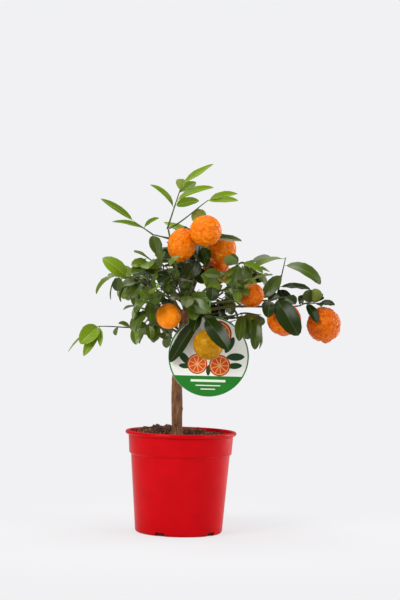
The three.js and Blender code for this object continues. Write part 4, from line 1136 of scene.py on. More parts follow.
TRUNK_RINGS = [(168.3, 200, 2), (200, 404, 5), (404, 407, 2)]  # from, to and step
WOOD = {
    "trunk_sides": 48, "trunk_evened": 3, "bough_sides": 14, "bough_steps": 40,
    "collar": 0.35, "collar_length": 7, "collar_fade": 5,  # how a bough swells at its fork
    "proud": 0.05, "voxel": 0.8, "even": 0.5, "evened": 5,
    "limb_shift": 37,  # from the bark pattern of one limb to that of the next
    "batch": 20000,  # points that are measured at a time
}
KNOTS = [(0.035, 2, 17, 0), (0.03, 3, -23, 1)]  # depth, count round, rise and start
SCAR = {"sunk": 0.2, "shape": (0.8, 0.8, 1.3)}
# Ridges of the bark: width round the limb, length along it, height
BARK_RIDGES = [(1.9, 14, 0.55), (0.95, 5, 0.3), (6, 24, 0.5)]
BARK_DEPTH = {"full_girth": 9, "least": 0.22, "depth": 0.75}
BARK_AGE = {"green_below": 1.6, "fade": 2.2}  # by the radius of the limb


def tube_mesh(line, radii, sides, lobes=None):
    """Rings round a line, closed at both ends."""
    side, top = square_to(unit(line[-1] - line[0]))
    points, faces = [], []
    for point, radius in zip(line, radii):
        for k in range(sides):
            turn = 2 * math.pi * k / sides
            r = radius * (1 + (lobes(point[2], turn) if lobes else 0))
            points.append(point + top * (math.cos(turn) * r) + side * (math.sin(turn) * r))
    for i in range(len(line) - 1):
        for k in range(sides):
            n = (k + 1) % sides
            faces.append((i * sides + k, i * sides + n, (i + 1) * sides + n, (i + 1) * sides + k))
    faces.append(tuple(range(sides))[::-1])
    faces.append(tuple((len(line) - 1) * sides + k for k in range(sides)))
    return points, faces


def trunk_lobes(z, turn):
    """Root lobes at the foot of the trunk, and shallow knots all the way up, as a share."""
    fade = ROOT_LOBES["fade"]
    foot = min(1, max(0, (ROOT_LOBES["below"] + fade / 2 - z) / fade))
    knots = sum(
        depth * math.sin(count * turn + z / rise + start) for depth, count, rise, start in KNOTS
    )
    return ROOT_LOBES["depth"] * foot * math.cos(ROOT_LOBES["count"] * turn) + knots


def trunk_mesh():
    heights = np.concatenate([np.arange(*stretch) for stretch in TRUNK_RINGS])
    centre = np.array([trunk_at(z)[0] for z in heights])
    radii = np.array([trunk_at(z)[1] for z in heights])
    for _ in range(WOOD["trunk_evened"]):
        centre[1:-1, 0] = (centre[:-2, 0] + 2 * centre[1:-1, 0] + centre[2:, 0]) / 4
        radii[1:-1] = (radii[:-2] + 2 * radii[1:-1] + radii[2:]) / 4
    return tube_mesh(centre, radii, WOOD["trunk_sides"], trunk_lobes)


def scar_mesh(z, azimuth, radius):
    """A swelling where a twig was cut off the trunk."""
    middle, trunk_radius = trunk_at(z)
    middle = middle + heading(azimuth) * (trunk_radius - SCAR["sunk"] * radius)
    bm = bmesh.new()
    bmesh.ops.create_icosphere(bm, subdivisions=3, radius=radius)
    bmesh.ops.scale(bm, vec=SCAR["shape"], verts=bm.verts)
    points, faces = lists_of(bm)
    return [point + middle for point in points], faces


def bough_mesh(name):
    """A bough that swells into a collar at the fork that it grows from."""
    _, _, tip, bow, (thick, thin) = BOUGHS[name]
    line = arc(limbs[name][0][0], vec(tip), bow, WOOD["bough_steps"])
    way = np.linalg.norm(line - line[0], axis=1)
    beyond = np.maximum(0, way - WOOD["collar_length"])
    radii = thick + (thin - thick) * np.linspace(0, 1, WOOD["bough_steps"] + 1)
    radii = radii * (1 + WOOD["collar"] * np.exp(-beyond / WOOD["collar_fade"])) + WOOD["proud"]
    return tube_mesh(line, radii, WOOD["bough_sides"])


def vertex_values(mesh, key):
    """A row of three values for each point of a mesh."""
    values = np.empty(len(mesh.vertices) * 3)
    mesh.vertices.foreach_get(key, values)
    return values.reshape(-1, 3)


def bark_places(place):
    """Place of each point round and along the limb that it lies on, and that limb's radius."""
    travelled = []
    for line, _ in limbs.values():
        steps = [length_of(way) for way in np.diff(line, axis=0)]
        travelled += [0.0, *np.cumsum(steps)[:-1]]
    grain_at = np.empty((len(place), 3))
    girth = np.empty(len(place))
    for first in range(0, len(place), WOOD["batch"]):
        part = slice(first, first + WOOD["batch"])
        gap, share = gaps(place[part], limb_starts, limb_ways)
        radius = limb_radii + limb_taper * share
        best = (gap - radius).argmin(1)
        rows = np.arange(len(best))
        at = limb_starts[best] + limb_ways[best] * share[rows, best][:, None]
        girth[part] = radius[rows, best]
        out = place[part] - at
        for r, b in enumerate(best):
            side, top = square_to(unit(limb_ways[b]))
            gone = travelled[b] + length_of(limb_ways[b]) * share[r, b]
            shift = WOOD["limb_shift"] * (b // LIMB_STEPS)
            grain_at[first + r] = (out[r] @ side, out[r] @ top, gone + shift)
    return grain_at, girth


def make_wood():
    """Trunk and boughs grown together at the forks, with the bark's relief."""
    points, faces = [], []
    scars = [scar_mesh(*scar) for scar in SCARS]
    for part in [trunk_mesh(), *scars, *[bough_mesh(name) for name in BOUGHS]]:
        join(points, faces, *part)
    rough = mesh_object("wood_rough", points, faces, [bark])
    grown = rough.modifiers.new("grown", "REMESH")
    grown.mode, grown.voxel_size = "VOXEL", WOOD["voxel"] * MM
    soft = rough.modifiers.new("soft", "SMOOTH")
    soft.factor, soft.iterations = WOOD["even"], WOOD["evened"]
    wood = finished(rough, "trunk_and_boughs")

    place = vertex_values(wood.data, "co") / MM
    grain_at, girth = bark_places(place)
    height = np.array([
        sum(much * noise.noise(Vector((u / width, v / width, w / length)))
            for width, length, much in BARK_RIDGES)
        for u, v, w in grain_at
    ])
    deep = np.clip(girth / BARK_DEPTH["full_girth"], BARK_DEPTH["least"], 1) * BARK_DEPTH["depth"]
    place += vertex_values(wood.data, "normal") * (height * deep)[:, None]
    wood.data.vertices.foreach_set("co", (place * MM).astype(np.float32).ravel())
    age = np.clip((girth - BARK_AGE["green_below"]) / BARK_AGE["fade"], 0, 1)
    for name, kind, key, values in (
        ("bark_grain", "FLOAT_VECTOR", "vector", grain_at), ("bark_age", "FLOAT", "value", age),
    ):
        layer = wood.data.attributes.new(name, kind, "POINT")
        layer.data.foreach_set(key, values.astype(np.float32).ravel())
    wood.data.materials.clear()
    wood.data.materials.append(bark)
    wood.data.shade_smooth()
    wood.data.update()
    return wood


# Twigs

TWIG_SIDES = {"older": 8, "green": 6}
TWIG_SHARP = 60
FRESH_STEM = 0.5  # the stem of a mass with a larger share of young leaves is green


def make_twig_tree():
    """Turns lines into smooth tubes, as thick as the attribute "thickness" says."""
    tree, given = shape_tree("twigs_along_lines", {"Sides": TWIG_SIDES["green"], "Smoothness": 4})
    curves = node(tree, "GeometryNodeMeshToCurve", {0: given["Geometry"]})
    bent = node(tree, "GeometryNodeCurveSplineType", {0: curves.outputs[0]}, spline_type="CATMULL_ROM")
    finer = node(tree, "GeometryNodeSetSplineResolution",
                 {"Geometry": bent.outputs[0], "Resolution": given["Smoothness"]})
    thick = node(tree, "GeometryNodeInputNamedAttribute", {"Name": "thickness"}, data_type="FLOAT")
    sized = node(tree, "GeometryNodeSetCurveRadius",
                 {"Curve": finer.outputs[0], "Radius": thick.outputs["Attribute"]})
    ring = node(tree, "GeometryNodeCurvePrimitiveCircle", {"Resolution": given["Sides"], "Radius": 1.0})
    width = node(tree, "GeometryNodeInputRadius").outputs[0]
    tubes = node(tree, "GeometryNodeCurveToMesh",
                 {"Curve": sized.outputs[0], "Profile Curve": ring.outputs[0], "Scale": width,
                  "Fill Caps": True})
    return end_tree(tree, tubes.outputs[0], given["Material"])


def make_twigs(name, lines, material, sides):
    """Twigs along lines of (points, radii), by Geometry Nodes."""
    points, edges, radii = [], [], []
    for line, widths in lines:
        base = len(points)
        points += [p * MM for p in line]
        radii += [w * MM for w in widths]
        edges += [(base + i, base + i + 1) for i in range(len(line) - 1)]
    mesh = bpy.data.meshes.new(name)
    mesh.from_pydata(points, edges, [])
    layer = mesh.attributes.new("thickness", "FLOAT", "POINT")
    layer.data.foreach_set("value", radii)
    made = run_tree(linked(name, mesh), twig_tree, name, Sides=sides, Material=material)
    shade(made.data, TWIG_SHARP)
    return made


twig_tree = make_twig_tree()

# Leaves

ROWS = np.array([0.0, 0.08, 0.16, 0.3, 0.46, 0.62, 0.77, 0.89, 0.965, 1.0])
COLUMNS = (-1.0, -0.56, -0.05, 0.05, 0.56, 1.0)  # shares of the half width
NEAR_RIB = 0.1  # columns nearer than this run along the edges of the midrib
PETIOLE = 0.08  # share of the leaf's length
# Drawn for each leaf, in this order: fold and twist in degrees, height of the waves and of
# the camber as shares of the half width, where the waves start and how many there are
LEAF_DRAWS = ((8, 20), (-16, 16), (0.03, 0.12), (0.15, 0.32), (0, 6.28), (1.5, 3.2))
LEAF_FORM = {
    "young_fold": 12, "base_power": 0.62, "tip_power": 0.57, "young_tip_power": 0.2,
    "petiole_half": 0.7, "tip_half": 0.5, "rib_half": 0.42, "rib_share": 0.5, "groove": 0.12,
    "depth": 0.6, "turn": 6.28, "other_half": 2,  # the last two are radians of the waves
}
LEAF_SHARP = 50
LEAF_SEED = 7
SPRAY_KINDS = 30
BROADER = 1.22  # a leaf that isn't given one by one, against the part's blade
LONGER = 1.08
# Least youth of each tint. One spray in three has young leaves in the place of pale ones.
AGES = [(0.85, "pale"), (0.45, "young"), (0.25, "fresh"), (0.15, "mid")]
# Masses of older leaves, and of leaves in the shade of the crown, whose deep tint is partly painted shade
OLD_AND_SHADED_MASSES = {
    "front_low", "right_far", "right_end", "right_sprig", "top_fruit", "inner_right", "inner_up",
    "inner_left", "back", "back_under",
}
# Masses towards the light, where fresh sprays take the place of deep ones
LIT_MASSES = {
    "left_mid", "left_fork", "left_up", "left_low", "left_under", "front_left", "back_left", "back_low",
}


def leaf_faces():
    """Faces of one leaf and the finish of each: 0 top, 1 midrib, 2 underside."""
    rows, across = len(ROWS), len(COLUMNS)
    faces, finish = [], []
    for i in range(rows - 1):
        low, high = i * across, (i + 1) * across
        for j in range(across - 1):
            faces.append((low + j, low + j + 1, high + j + 1, high + j))
            finish.append(1 if j == 2 or i == 0 else 0)
        keel, next_keel = rows * across + i, rows * across + i + 1
        faces.append((low, high, next_keel, keel))
        faces.append((low + across - 1, keel, next_keel, high + across - 1))
        finish += [2, 2]
    bottom, top = rows * across, rows * across + rows - 1
    last = (rows - 1) * across
    faces.append(tuple([bottom, *range(across)][::-1]))
    faces.append(tuple([top, *range(last, last + across)]))
    return faces, finish + [1, 0]


LEAF_FACES, LEAF_FINISH = leaf_faces()


def half_widths(half, young):
    """Half widths of a leaf at its rows: a thin petiole, a rounded base and a pointed tip."""
    base_power = LEAF_FORM["base_power"]
    tip_power = LEAF_FORM["tip_power"] + LEAF_FORM["young_tip_power"] * young
    b = np.clip((ROWS - PETIOLE) / (1 - PETIOLE), 0, 1)
    peak = base_power / (base_power + tip_power)
    full = b ** base_power * (1 - b) ** tip_power / (peak ** base_power * (1 - peak) ** tip_power)
    halves = np.maximum(full * half, LEAF_FORM["petiole_half"])
    halves[-1] = LEAF_FORM["tip_half"]
    return halves


def leaf_mesh(leaf, vary):
    """Points of one leaf: folded along its midrib, arched, each half cambered and wavy."""
    side, normal, arch = leaf["side"], leaf["normal"], leaf["arch"]
    length, half = leaf["length"], leaf["half"] / SHOWN_WIDTH
    if not leaf.get("given"):
        length, half = length * LONGER, half * BROADER
    fold, twist, wave, camber, phase, bumps = (vary.uniform(*limits) for limits in LEAF_DRAWS)
    fold = math.radians(fold + LEAF_FORM["young_fold"] * leaf["young"])
    twist = math.radians(twist)
    centre, last = leaf["root"].copy(), 0.0
    points, keels = [], []
    for s, h in zip(ROWS, half_widths(half, leaf["young"])):
        way = turned(leaf["direction"], side, -arch * (s + last) / 2)
        centre = centre + way * ((s - last) * length)
        last = s
        up = turned(normal, side, -arch * s)
        roll = twist * s
        across = side * math.cos(roll) + up * math.sin(roll)
        top = up * math.cos(roll) - side * math.sin(roll)
        for t in COLUMNS:
            by_rib = abs(t) < NEAR_RIB
            out = t * h
            if by_rib:
                out = math.copysign(min(LEAF_FORM["rib_half"], h * LEAF_FORM["rib_share"]), t)
            start = phase + bumps * LEAF_FORM["turn"] * s
            lift = abs(out) * math.sin(fold)
            lift += wave * h * abs(t) * math.sin(start + (LEAF_FORM["other_half"] if t > 0 else 0))
            lift += camber * h * (abs(t) - t * t)
            groove = LEAF_FORM["groove"] if by_rib else 0.0
            points.append(centre + across * (out * math.cos(fold)) + top * (lift - groove))
        keels.append(centre - top * min(LEAF_FORM["depth"], h))
    return points + keels


def tint_of(leaf, spray, mass_name):
    """The tint of a leaf: young ones by their age, the others by their mass and spray, with deep tints as
    painted shade in shaded masses and fresh ones as painted light in lit ones.
    """
    for age, tint in AGES:
        if leaf["young"] >= age:
            return tint if spray % 3 or tint != "pale" else "young"
    # Painted shade: leaves of shaded masses take the deep tint
    if mass_name in OLD_AND_SHADED_MASSES:
        return "mid" if leaf["twig"] and spray % 3 == 2 else "deep"
    third = "fresh" if mass_name in LIT_MASSES else "deep"
    return ("mid", "fresh", third, "mid", "fresh")[spray % 5]


def make_leaves():
    vary = random.Random(LEAF_SEED)
    sets = {tint: ([], [], []) for tint in TINTS}
    for grown in masses:
        sprays = [vary.randrange(SPRAY_KINDS) for _ in grown["twigs"] + grown["fine"]]
        for leaf in grown["leaves"]:
            points, faces, finish = sets[tint_of(leaf, sprays[leaf["twig"]], grown["name"])]
            join(points, faces, leaf_mesh(leaf, vary), LEAF_FACES)
            finish.extend(LEAF_FINISH)
    return [
        mesh_object(f"leaves_{tint}", points, faces, leaf_skins[tint], finish, LEAF_SHARP)
        for tint, (points, faces, finish) in sets.items()
    ]


# Fruit

# Relief of a rough rind along its polar angle in radians: height as a share of the radius,
# place and width. Neck, folds and dimple are at the stalk, the rest at the far end.
RIND_RIDGES = {
    "folds": (0.022, 0.42, 0.30), "neck": (0.030, 0, 0.22), "dimple": (-0.05, 0, 0.10),
    "nipple": (0.028, 0, 0.24), "groove": (-0.035, 0.38, 0.13), "creases": (0.024, 0.5, 0.25),
}
RIND_FOLDS = {"count": 7, "bend": 2, "bends": 1.7}
RIND_CREASES = {"count": 6, "start": 1.3}
RIND_SWELL = (0.020, 1.6)  # height, and how many to a radius
RIND_BUMPS = [(0.022, 4.5), (0.010, 13)]
NOISE_APART = 7.3  # from the noise of one fruit to that of the next
RIND_BLISTERS = {"height": 0.042, "middle": 0.45, "count": 6.5}
CALYX = {
    "points": 20, "lobes": 5, "radius": 3.6, "lobe": 1.2, "top": 1.6, "rim": 0.7, "under": 1.2,
    "place": 0.965, "sharp": 50,
}


def fruit_frame(row):
    """Axis of a fruit, and the line of its stalk."""
    mass_name, centre, _, height, lean, *_ = row
    middle = vec(centre)
    crown = middle + UP * (height / 2)
    stem = stems[mass_name][1:]
    joint = stem[np.linalg.norm(stem - crown, axis=1).argmin()]
    axis = unit(UP * (1 - lean) + unit(joint - middle) * lean)
    bend = middle + axis * (height / 2 + FRUIT_STALK["bend"])
    end = middle + axis * (height / 2 - FRUIT_STALK["inside"])
    return axis, np.array([joint, bend, end])


def ridge(part, angle):
    """Height of a ridge or groove of the rind at a polar angle."""
    height, place, width = RIND_RIDGES[part]
    return height * math.exp(-(((angle - place) / width) ** 2))


def rind_radius(d, number, rough):
    """Radius of the rind against a plain ellipsoid, in the direction d. +Z is the stalk end."""
    from_top = math.acos(max(-1, min(1, d.z)))
    from_end = math.pi - from_top
    turn = math.atan2(d.y, d.x)
    p = Vector((d.x + number * NOISE_APART, d.y, d.z))
    bend = RIND_FOLDS["bend"] * noise.noise(p * RIND_FOLDS["bends"])
    folds = math.cos(RIND_FOLDS["count"] * turn + bend)
    creases = math.cos(RIND_CREASES["count"] * turn + RIND_CREASES["start"])
    at_top = ridge("folds", from_top) * folds + ridge("neck", from_top)
    at_end = ridge("nipple", from_end) + ridge("groove", from_end) + ridge("creases", from_end) * creases
    bumps = sum(height * noise.noise(p * count) for height, count in RIND_BUMPS)
    near = noise.voronoi(p * RIND_BLISTERS["count"])[0]
    blisters = RIND_BLISTERS["height"] * (RIND_BLISTERS["middle"] - near[0])
    swell = RIND_SWELL[0] * noise.noise(p * RIND_SWELL[1])
    return 1 + swell + ridge("dimple", from_top) + rough * (at_top + at_end + bumps + blisters)


def fruit_points(row, number, axis, ball):
    """Points of a rind that stands on its axis, from those of a plain ball."""
    _, centre, width, height, _, rough, _ = row
    turn = Vector((0, 0, 1)).rotation_difference(Vector(axis))
    points = []
    for d in ball:
        r = rind_radius(d, number, rough)
        p = Vector((d.x * width / 2 * r, d.y * width / 2 * r, d.z * height / 2 * r))
        points.append(vec(turn @ p) + vec(centre))
    return points


def calyx_mesh(top, axis):
    """A lobed green cap under the stalk."""
    side, up = square_to(axis)
    count = CALYX["points"]
    points, faces = [top + axis * CALYX["top"]], []
    for k in range(count):
        a = 2 * math.pi * k / count
        r = CALYX["radius"] + CALYX["lobe"] * math.cos(CALYX["lobes"] * a)
        points.append(top + (side * math.cos(a) + up * math.sin(a)) * r + axis * CALYX["rim"])
    points.append(top - axis * CALYX["under"])
    for k in range(count):
        n = (k + 1) % count
        faces += [(0, 1 + k, 1 + n), (count + 1, 1 + n, 1 + k)]
    return points, faces


def make_fruit():
    """Fruit, calyces and the lines of the stalks."""
    bm = bmesh.new()
    bmesh.ops.create_icosphere(bm, subdivisions=6, radius=1)
    ball_points, ball_faces = lists_of(bm)
    ball = [Vector(point).normalized() for point in ball_points]
    sets, stalks = {}, []
    for number, row in enumerate(FRUITS):
        _, centre, _, height, _, _, finish = row
        axis, stalk = fruit_frame(row)
        stalks.append((stalk, FRUIT_STALK["radii"]))
        calyx = calyx_mesh(vec(centre) + axis * (height / 2 * CALYX["place"]), axis)
        rind = fruit_points(row, number, axis, ball), ball_faces
        for key, mesh in ((finish, rind), ("calyx", calyx)):
            join(*sets.setdefault(key, ([], [])), *mesh)
    calyces = sets.pop("calyx")
    made = [mesh_object(f"fruit_{finish}", *mesh, [rind_skins[finish]])
            for finish, mesh in sets.items()]
    made.append(mesh_object("calyces", *calyces, [calyx_skin], sharp=CALYX["sharp"]))
    return made, stalks


# Label

PRINT_DEPTH = 0.12  # how far each print stands proud of the one under it
CARD_EDGE = 0.3  # bare card round a print
RING_WIDTH = 2.6
BAND_TOP = 283.0
BARS = [(274.5, 62, 4.2), (266.0, 44, 1.8), (259.5, 26, 1.8)]  # height, length, width
NECK_PRINT = {"width": 0.8, "from": -30, "to": -6.2}  # share of the neck, ends from the eyelet
LABEL_STEPS = {
    "disc": 140, "eyelet": 40, "hole": 32, "ring": 128, "eye_ring": 48, "field": 80, "band": 48,
    "fruit": 64,
}
LABEL_SHARP = 30
# X, z, lean in degrees and length
PRINTED_LEAVES = [
    (3, 314, 132, 30), (4, 300, 176, 22), (94, 318, 2, 32), (83, 339, 62, 32), (93, 302, 4, 26),
    (46, 293, 90, 19),
]
LEAF_PRINT = {"points": 24, "half": 0.21, "point": 0.3}
CUT_FRUITS = [(26, 304, 18), (66, 302, 19), (62, 358, 24)]  # x, z, radius
# Shares of a cut fruit's radius, then of the turn that each wedge takes
WEDGES = {"count": 9, "pith": 0.88, "inner": 0.12, "outer": 0.8, "gap": 0.06, "wide": 0.88, "steps": 6}


class Sheet:
    """Flat shapes in the plane of the label, each a thin closed solid."""

    def __init__(self):
        self.points, self.faces, self.inks = [], [], []

    def add(self, points, faces, ink):
        join(self.points, self.faces, points, faces)
        self.inks += [list(PRINTS).index(ink)] * len(faces)

    def strip(self, outer, inner, front, back, ink):
        """Solid between two loops of (x, z), which are turned the same way."""
        n, points, faces = len(outer), [], []
        for loop, y in ((outer, front), (inner, front), (inner, back), (outer, back)):
            points += [[x, y, z] for x, z in loop]
        for k in range(n):
            m = (k + 1) % n
            for a, b in ((0, 1), (1, 2), (2, 3), (3, 0)):
                faces.append((a * n + k, b * n + k, b * n + m, a * n + m))
        self.add(points, faces, ink)

    def plate(self, loop, front, back, ink):
        """Solid inside a loop of (x, z)."""
        n = len(loop)
        points = [[x, y, z] for y in (front, back) for x, z in loop]
        faces = [tuple(range(n)), tuple(range(n, 2 * n))[::-1]]
        faces += [(k, n + k, n + (k + 1) % n, (k + 1) % n) for k in range(n)]
        self.add(points, faces, ink)


def arc_points(x, z, r, angles):
    """Points of an arc, with angles in radians."""
    return [(x + r * math.cos(a), z + r * math.sin(a)) for a in angles]


def circle(x, z, r, n):
    """N points round a circle."""
    return arc_points(x, z, r, [2 * math.pi * k / n for k in range(n)])


def card_mesh(disc, eyelet, front):
    """The card: one outline round the disc, the neck and the eyelet, with the eyelet's hole."""
    bm = bmesh.new()
    rings = []
    hole = circle(LABEL["eye_x"], LABEL["eye_z"], LABEL["eye_hole"], LABEL_STEPS["hole"])
    for part in (disc + eyelet, hole):
        verts = [bm.verts.new((x, front, z)) for x, z in part]
        rings += [bm.edges.new((verts[k], verts[(k + 1) % len(verts)])) for k in range(len(verts))]
    bmesh.ops.triangle_fill(bm, use_beauty=True, edges=rings)
    bmesh.ops.recalc_face_normals(bm, faces=bm.faces)
    grown = bmesh.ops.extrude_face_region(bm, geom=bm.faces[:])
    backs = [v for v in grown["geom"] if isinstance(v, bmesh.types.BMVert)]
    bmesh.ops.translate(bm, vec=(0, LABEL["thickness"], 0), verts=backs)
    bmesh.ops.recalc_face_normals(bm, faces=bm.faces)
    bmesh.ops.triangulate(bm, faces=bm.faces)
    return lists_of(bm)


def printed_leaf(x, z, lean, length):
    """A flat leaf, pointed at both ends."""
    a = math.radians(lean)
    loop = []
    for k in range(LEAF_PRINT["points"]):
        t = 2 * math.pi * k / LEAF_PRINT["points"]
        u = length / 2 * math.cos(t)
        v = length * LEAF_PRINT["half"] * math.sin(t) * abs(math.sin(t)) ** LEAF_PRINT["point"]
        loop.append((x + u * math.cos(a) - v * math.sin(a), z + u * math.sin(a) + v * math.cos(a)))
    return loop


def printed_wedge(x, z, r, number):
    """One wedge of a cut fruit, from a point near its middle to an arc under its pith."""
    first = 2 * math.pi * (number + WEDGES["gap"]) / WEDGES["count"]
    wide = 2 * math.pi * WEDGES["wide"] / WEDGES["count"]
    angles = [first + wide * i / WEDGES["steps"] for i in range(WEDGES["steps"] + 1)]
    return [
        *arc_points(x, z, r * WEDGES["inner"], [first + wide / 2]),
        *arc_points(x, z, r * WEDGES["outer"], angles),
    ]


def make_label():
    x, y, z, radius = LABEL["x"], LABEL["y"], LABEL["z"], LABEL["radius"]
    ex, ez, eye, hole = LABEL["eye_x"], LABEL["eye_z"], LABEL["eye_radius"], LABEL["eye_hole"]
    front = y - LABEL["thickness"] / 2
    neck = LABEL["neck_width"] / 2
    slope = math.atan2(ez - z, ex - x)
    at_disc, at_eye = math.asin(neck / radius), math.asin(neck / eye)
    full, steps = 2 * math.pi, LABEL_STEPS
    sheet = Sheet()

    def lay(loop, level, ink, under=1):
        sheet.plate(loop, front - level * PRINT_DEPTH, front - (level - under) * PRINT_DEPTH, ink)

    def ring(centre_x, centre_z, outer, inner, sides, level):
        outside, inside = circle(centre_x, centre_z, outer, sides), circle(centre_x, centre_z, inner, sides)
        sheet.strip(outside, inside, front - level * PRINT_DEPTH, front, "green")

    round_disc = np.linspace(slope + at_disc, slope + full - at_disc, steps["disc"])
    round_eye = np.linspace(slope - math.pi + at_eye, slope + math.pi - at_eye, steps["eyelet"])
    disc, eyelet = arc_points(x, z, radius, round_disc), arc_points(ex, ez, eye, round_eye)
    sheet.add(*card_mesh(disc, eyelet, front), "card")

    # Prints: a green ring, a pale field, a green band with pale bars, leaves and cut fruits
    inner = radius - RING_WIDTH
    ring(x, z, radius - CARD_EDGE, inner, steps["ring"], 1)
    half = neck * NECK_PRINT["width"]
    corners = ((-1, "from"), (1, "from"), (1, "to"), (-1, "to"))
    lay([(ex - side * half * math.sin(slope) + NECK_PRINT[end] * math.cos(slope),
          ez + side * half * math.cos(slope) + NECK_PRINT[end] * math.sin(slope))
         for side, end in corners], 1, "green")
    ring(ex, ez, eye - CARD_EDGE, hole + CARD_EDGE, steps["eye_ring"], 2)
    drop = math.asin((BAND_TOP - z) / inner)
    upper = np.linspace(drop, math.pi - drop, steps["field"])
    lower = np.linspace(math.pi - drop, full + drop, steps["band"])
    lay(arc_points(x, z, inner, upper), 1, "field")
    lay(arc_points(x, z, inner, lower), 1, "green")
    for bar_z, long, tall in BARS:
        lay([(x + a * long / 2, bar_z + b * tall / 2) for a, b in ((-1, -1), (1, -1), (1, 1), (-1, 1))],
            2, "pale")
    for row in PRINTED_LEAVES:
        lay(printed_leaf(*row), 2, "leaf")
    for cx, cz, r in CUT_FRUITS:
        lay(circle(cx, cz, r, steps["fruit"]), 3, "orange", under=2)
        lay(circle(cx, cz, r * WEDGES["pith"], steps["fruit"]), 4, "pith")
        for number in range(WEDGES["count"]):
            lay(printed_wedge(cx, cz, r, number), 5, "juice")
    label = mesh_object("label_card", sheet.points, sheet.faces, prints, sheet.inks, LABEL_SHARP)
    bm = bmesh.new()
    bm.from_mesh(label.data)
    bmesh.ops.recalc_face_normals(bm, faces=bm.faces)
    bm.to_mesh(label.data)
    bm.free()
    return label


# The object

pot = make_pot()
soil, crumbs = make_soil()
wood = make_wood()
fruit, stalks = make_fruit()
leaves = make_leaves()
label = make_label()

old_lines, new_lines = list(stalks), []
for grown in masses:
    target = new_lines if grown["row"]["fresh"] > FRESH_STEM else old_lines
    for k, line in enumerate(grown["twigs"]):
        radius = TWIG["radius" if k else "stem_radius"]
        target.append((line, np.linspace(radius, TWIG["tip_radius"], len(line))))
    for line in grown["fine"]:
        new_lines.append((line, np.linspace(FINE["radius"], FINE["tip_radius"], len(line))))
twigs = [
    make_twigs("twigs_older", old_lines, old_twig, TWIG_SIDES["older"]),
    make_twigs("twigs_green", new_lines, new_twig, TWIG_SIDES["green"]),
]

foliage_nodes = [f"foliage_{name}" for name in MASSES]
bough_nodes = [f"bough_{name}" for name in BOUGHS]
for piece, slot_name, stands_for in [
    (pot, "pot", ["pot"]),
    (soil, "soil", ["soil"]),
    (crumbs, "soil", ["soil"]),
    (wood, "bark", ["trunk", *bough_nodes]),
    (label, "label", ["label"]),
    *[(piece, "foliage", foliage_nodes) for piece in [*twigs, *leaves, *fruit]],
]:
    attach(piece, "root")
    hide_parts(*stands_for)

# Floor, light and camera, in metres

BACKDROP = "#F1F1F3"
FLOOR = {"colour": "#E6E5E6", "sides": 96, "rings": (0.15, 0.4, 1.0, 12.0)}
FADE = {"From Min": 0.2, "From Max": 0.7, "To Min": 0.72}  # how paint gives way to backdrop
AMBIENT = 0.3
# Place, aim, size and power of each softbox
SOFTBOXES = {
    "key_left": ((-1.5, -1.7, 1.5), (0, 0, 0.3), (1.0, 1.3), 44),
    "fill_right": ((2.0, -1.0, 1.1), (0, 0, 0.3), (0.9, 1.3), 15),
    "edge_right": ((1.3, 0.9, 0.5), (0, 0, 0.2), (0.5, 1.2), 12),
    "side_right": ((1.9, 0.1, 0.45), (0, 0, 0.1), (0.18, 1.3), 5),
    "overhead": ((-0.2, 0.3, 2.2), (0, 0, 0.2), (1.6, 1.6), 24),
}
CAMERA = {"place": (0.028, -3.04, 0.418), "roll": 1.5, "sensor": 36, "lens": 101.28}

scene = bpy.context.scene
scene.view_settings.view_transform = "Standard"

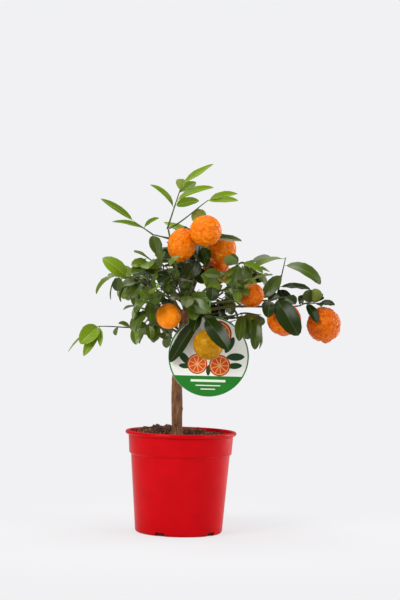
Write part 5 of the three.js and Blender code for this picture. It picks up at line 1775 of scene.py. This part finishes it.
# A pale floor that takes a faint shadow near the pot and turns into plain backdrop further
# out, so no horizon shows. Light that bounces off it sees plain paint.
floor_paint = bpy.data.materials.new("floor_paint")
floor_paint.use_nodes = True
tree = floor_paint.node_tree
tree.nodes.clear()
place = node(tree, "ShaderNodeTexCoord").outputs["Object"]
away = node(tree, "ShaderNodeVectorMath", {0: place}, operation="LENGTH")
fade = node(tree, "ShaderNodeMapRange", {"Value": away.outputs["Value"], **FADE},
            interpolation_type="SMOOTHSTEP")
in_view = node(tree, "ShaderNodeLightPath").outputs["Is Camera Ray"]
share = node(tree, "ShaderNodeMath", {0: fade.outputs[0], 1: in_view}, operation="MULTIPLY")
paint = node(tree, "ShaderNodeBsdfDiffuse", {"Color": linear(FLOOR["colour"])})
glow = node(tree, "ShaderNodeEmission", {"Color": linear(BACKDROP), "Strength": 1.0})
mixed = node(tree, "ShaderNodeMixShader", {0: share.outputs[0], 1: paint.outputs[0], 2: glow.outputs[0]})
node(tree, "ShaderNodeOutputMaterial", {"Surface": mixed.outputs[0]})

sides = FLOOR["sides"]
points, faces = [[0, 0, 0]], []
for r in FLOOR["rings"]:
    points += [[px, py, 0] for px, py in circle(0, 0, r, sides)]
for k in range(sides):
    n = (k + 1) % sides
    faces.append((0, 1 + k, 1 + n))
    for ring_number in range(len(FLOOR["rings"]) - 1):
        low, high = 1 + ring_number * sides, 1 + (ring_number + 1) * sides
        faces.append((low + k, high + k, high + n, low + n))
floor = mesh_object("floor", points, faces, [floor_paint], unit=1)
floor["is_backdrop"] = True

world = bpy.data.worlds.new("studio")
world.use_nodes = True
scene.world = world
tree = world.node_tree
tree.nodes.clear()
seen = node(tree, "ShaderNodeLightPath").outputs["Is Camera Ray"]
behind = node(tree, "ShaderNodeBackground", {"Color": linear(BACKDROP), "Strength": 1.0})
ambient = node(tree, "ShaderNodeBackground", {"Color": (1, 1, 1, 1), "Strength": AMBIENT})
both = node(tree, "ShaderNodeMixShader", {0: seen, 1: ambient.outputs[0], 2: behind.outputs[0]})
node(tree, "ShaderNodeOutputWorld", {"Surface": both.outputs[0]})

for name, (place, aim, size, power) in SOFTBOXES.items():
    light = bpy.data.lights.new(name, "AREA")
    light.shape, light.size, light.size_y, light.energy = "RECTANGLE", *size, power
    softbox = linked(name, light)
    softbox.location = place
    softbox.rotation_euler = (Vector(aim) - Vector(place)).to_track_quat("-Z", "Y").to_euler()

lens = bpy.data.cameras.new("camera")
lens.sensor_width, lens.lens = CAMERA["sensor"], CAMERA["lens"]
camera = linked("camera", lens)
roll = math.radians(CAMERA["roll"])
right, up = (math.cos(roll), 0, math.sin(roll)), (-math.sin(roll), 0, math.cos(roll))
turn = Matrix((right, up, (0, -1, 0))).transposed()
camera.matrix_world = Matrix.Translation(CAMERA["place"]) @ turn.to_4x4()
scene.camera = camera

low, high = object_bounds()
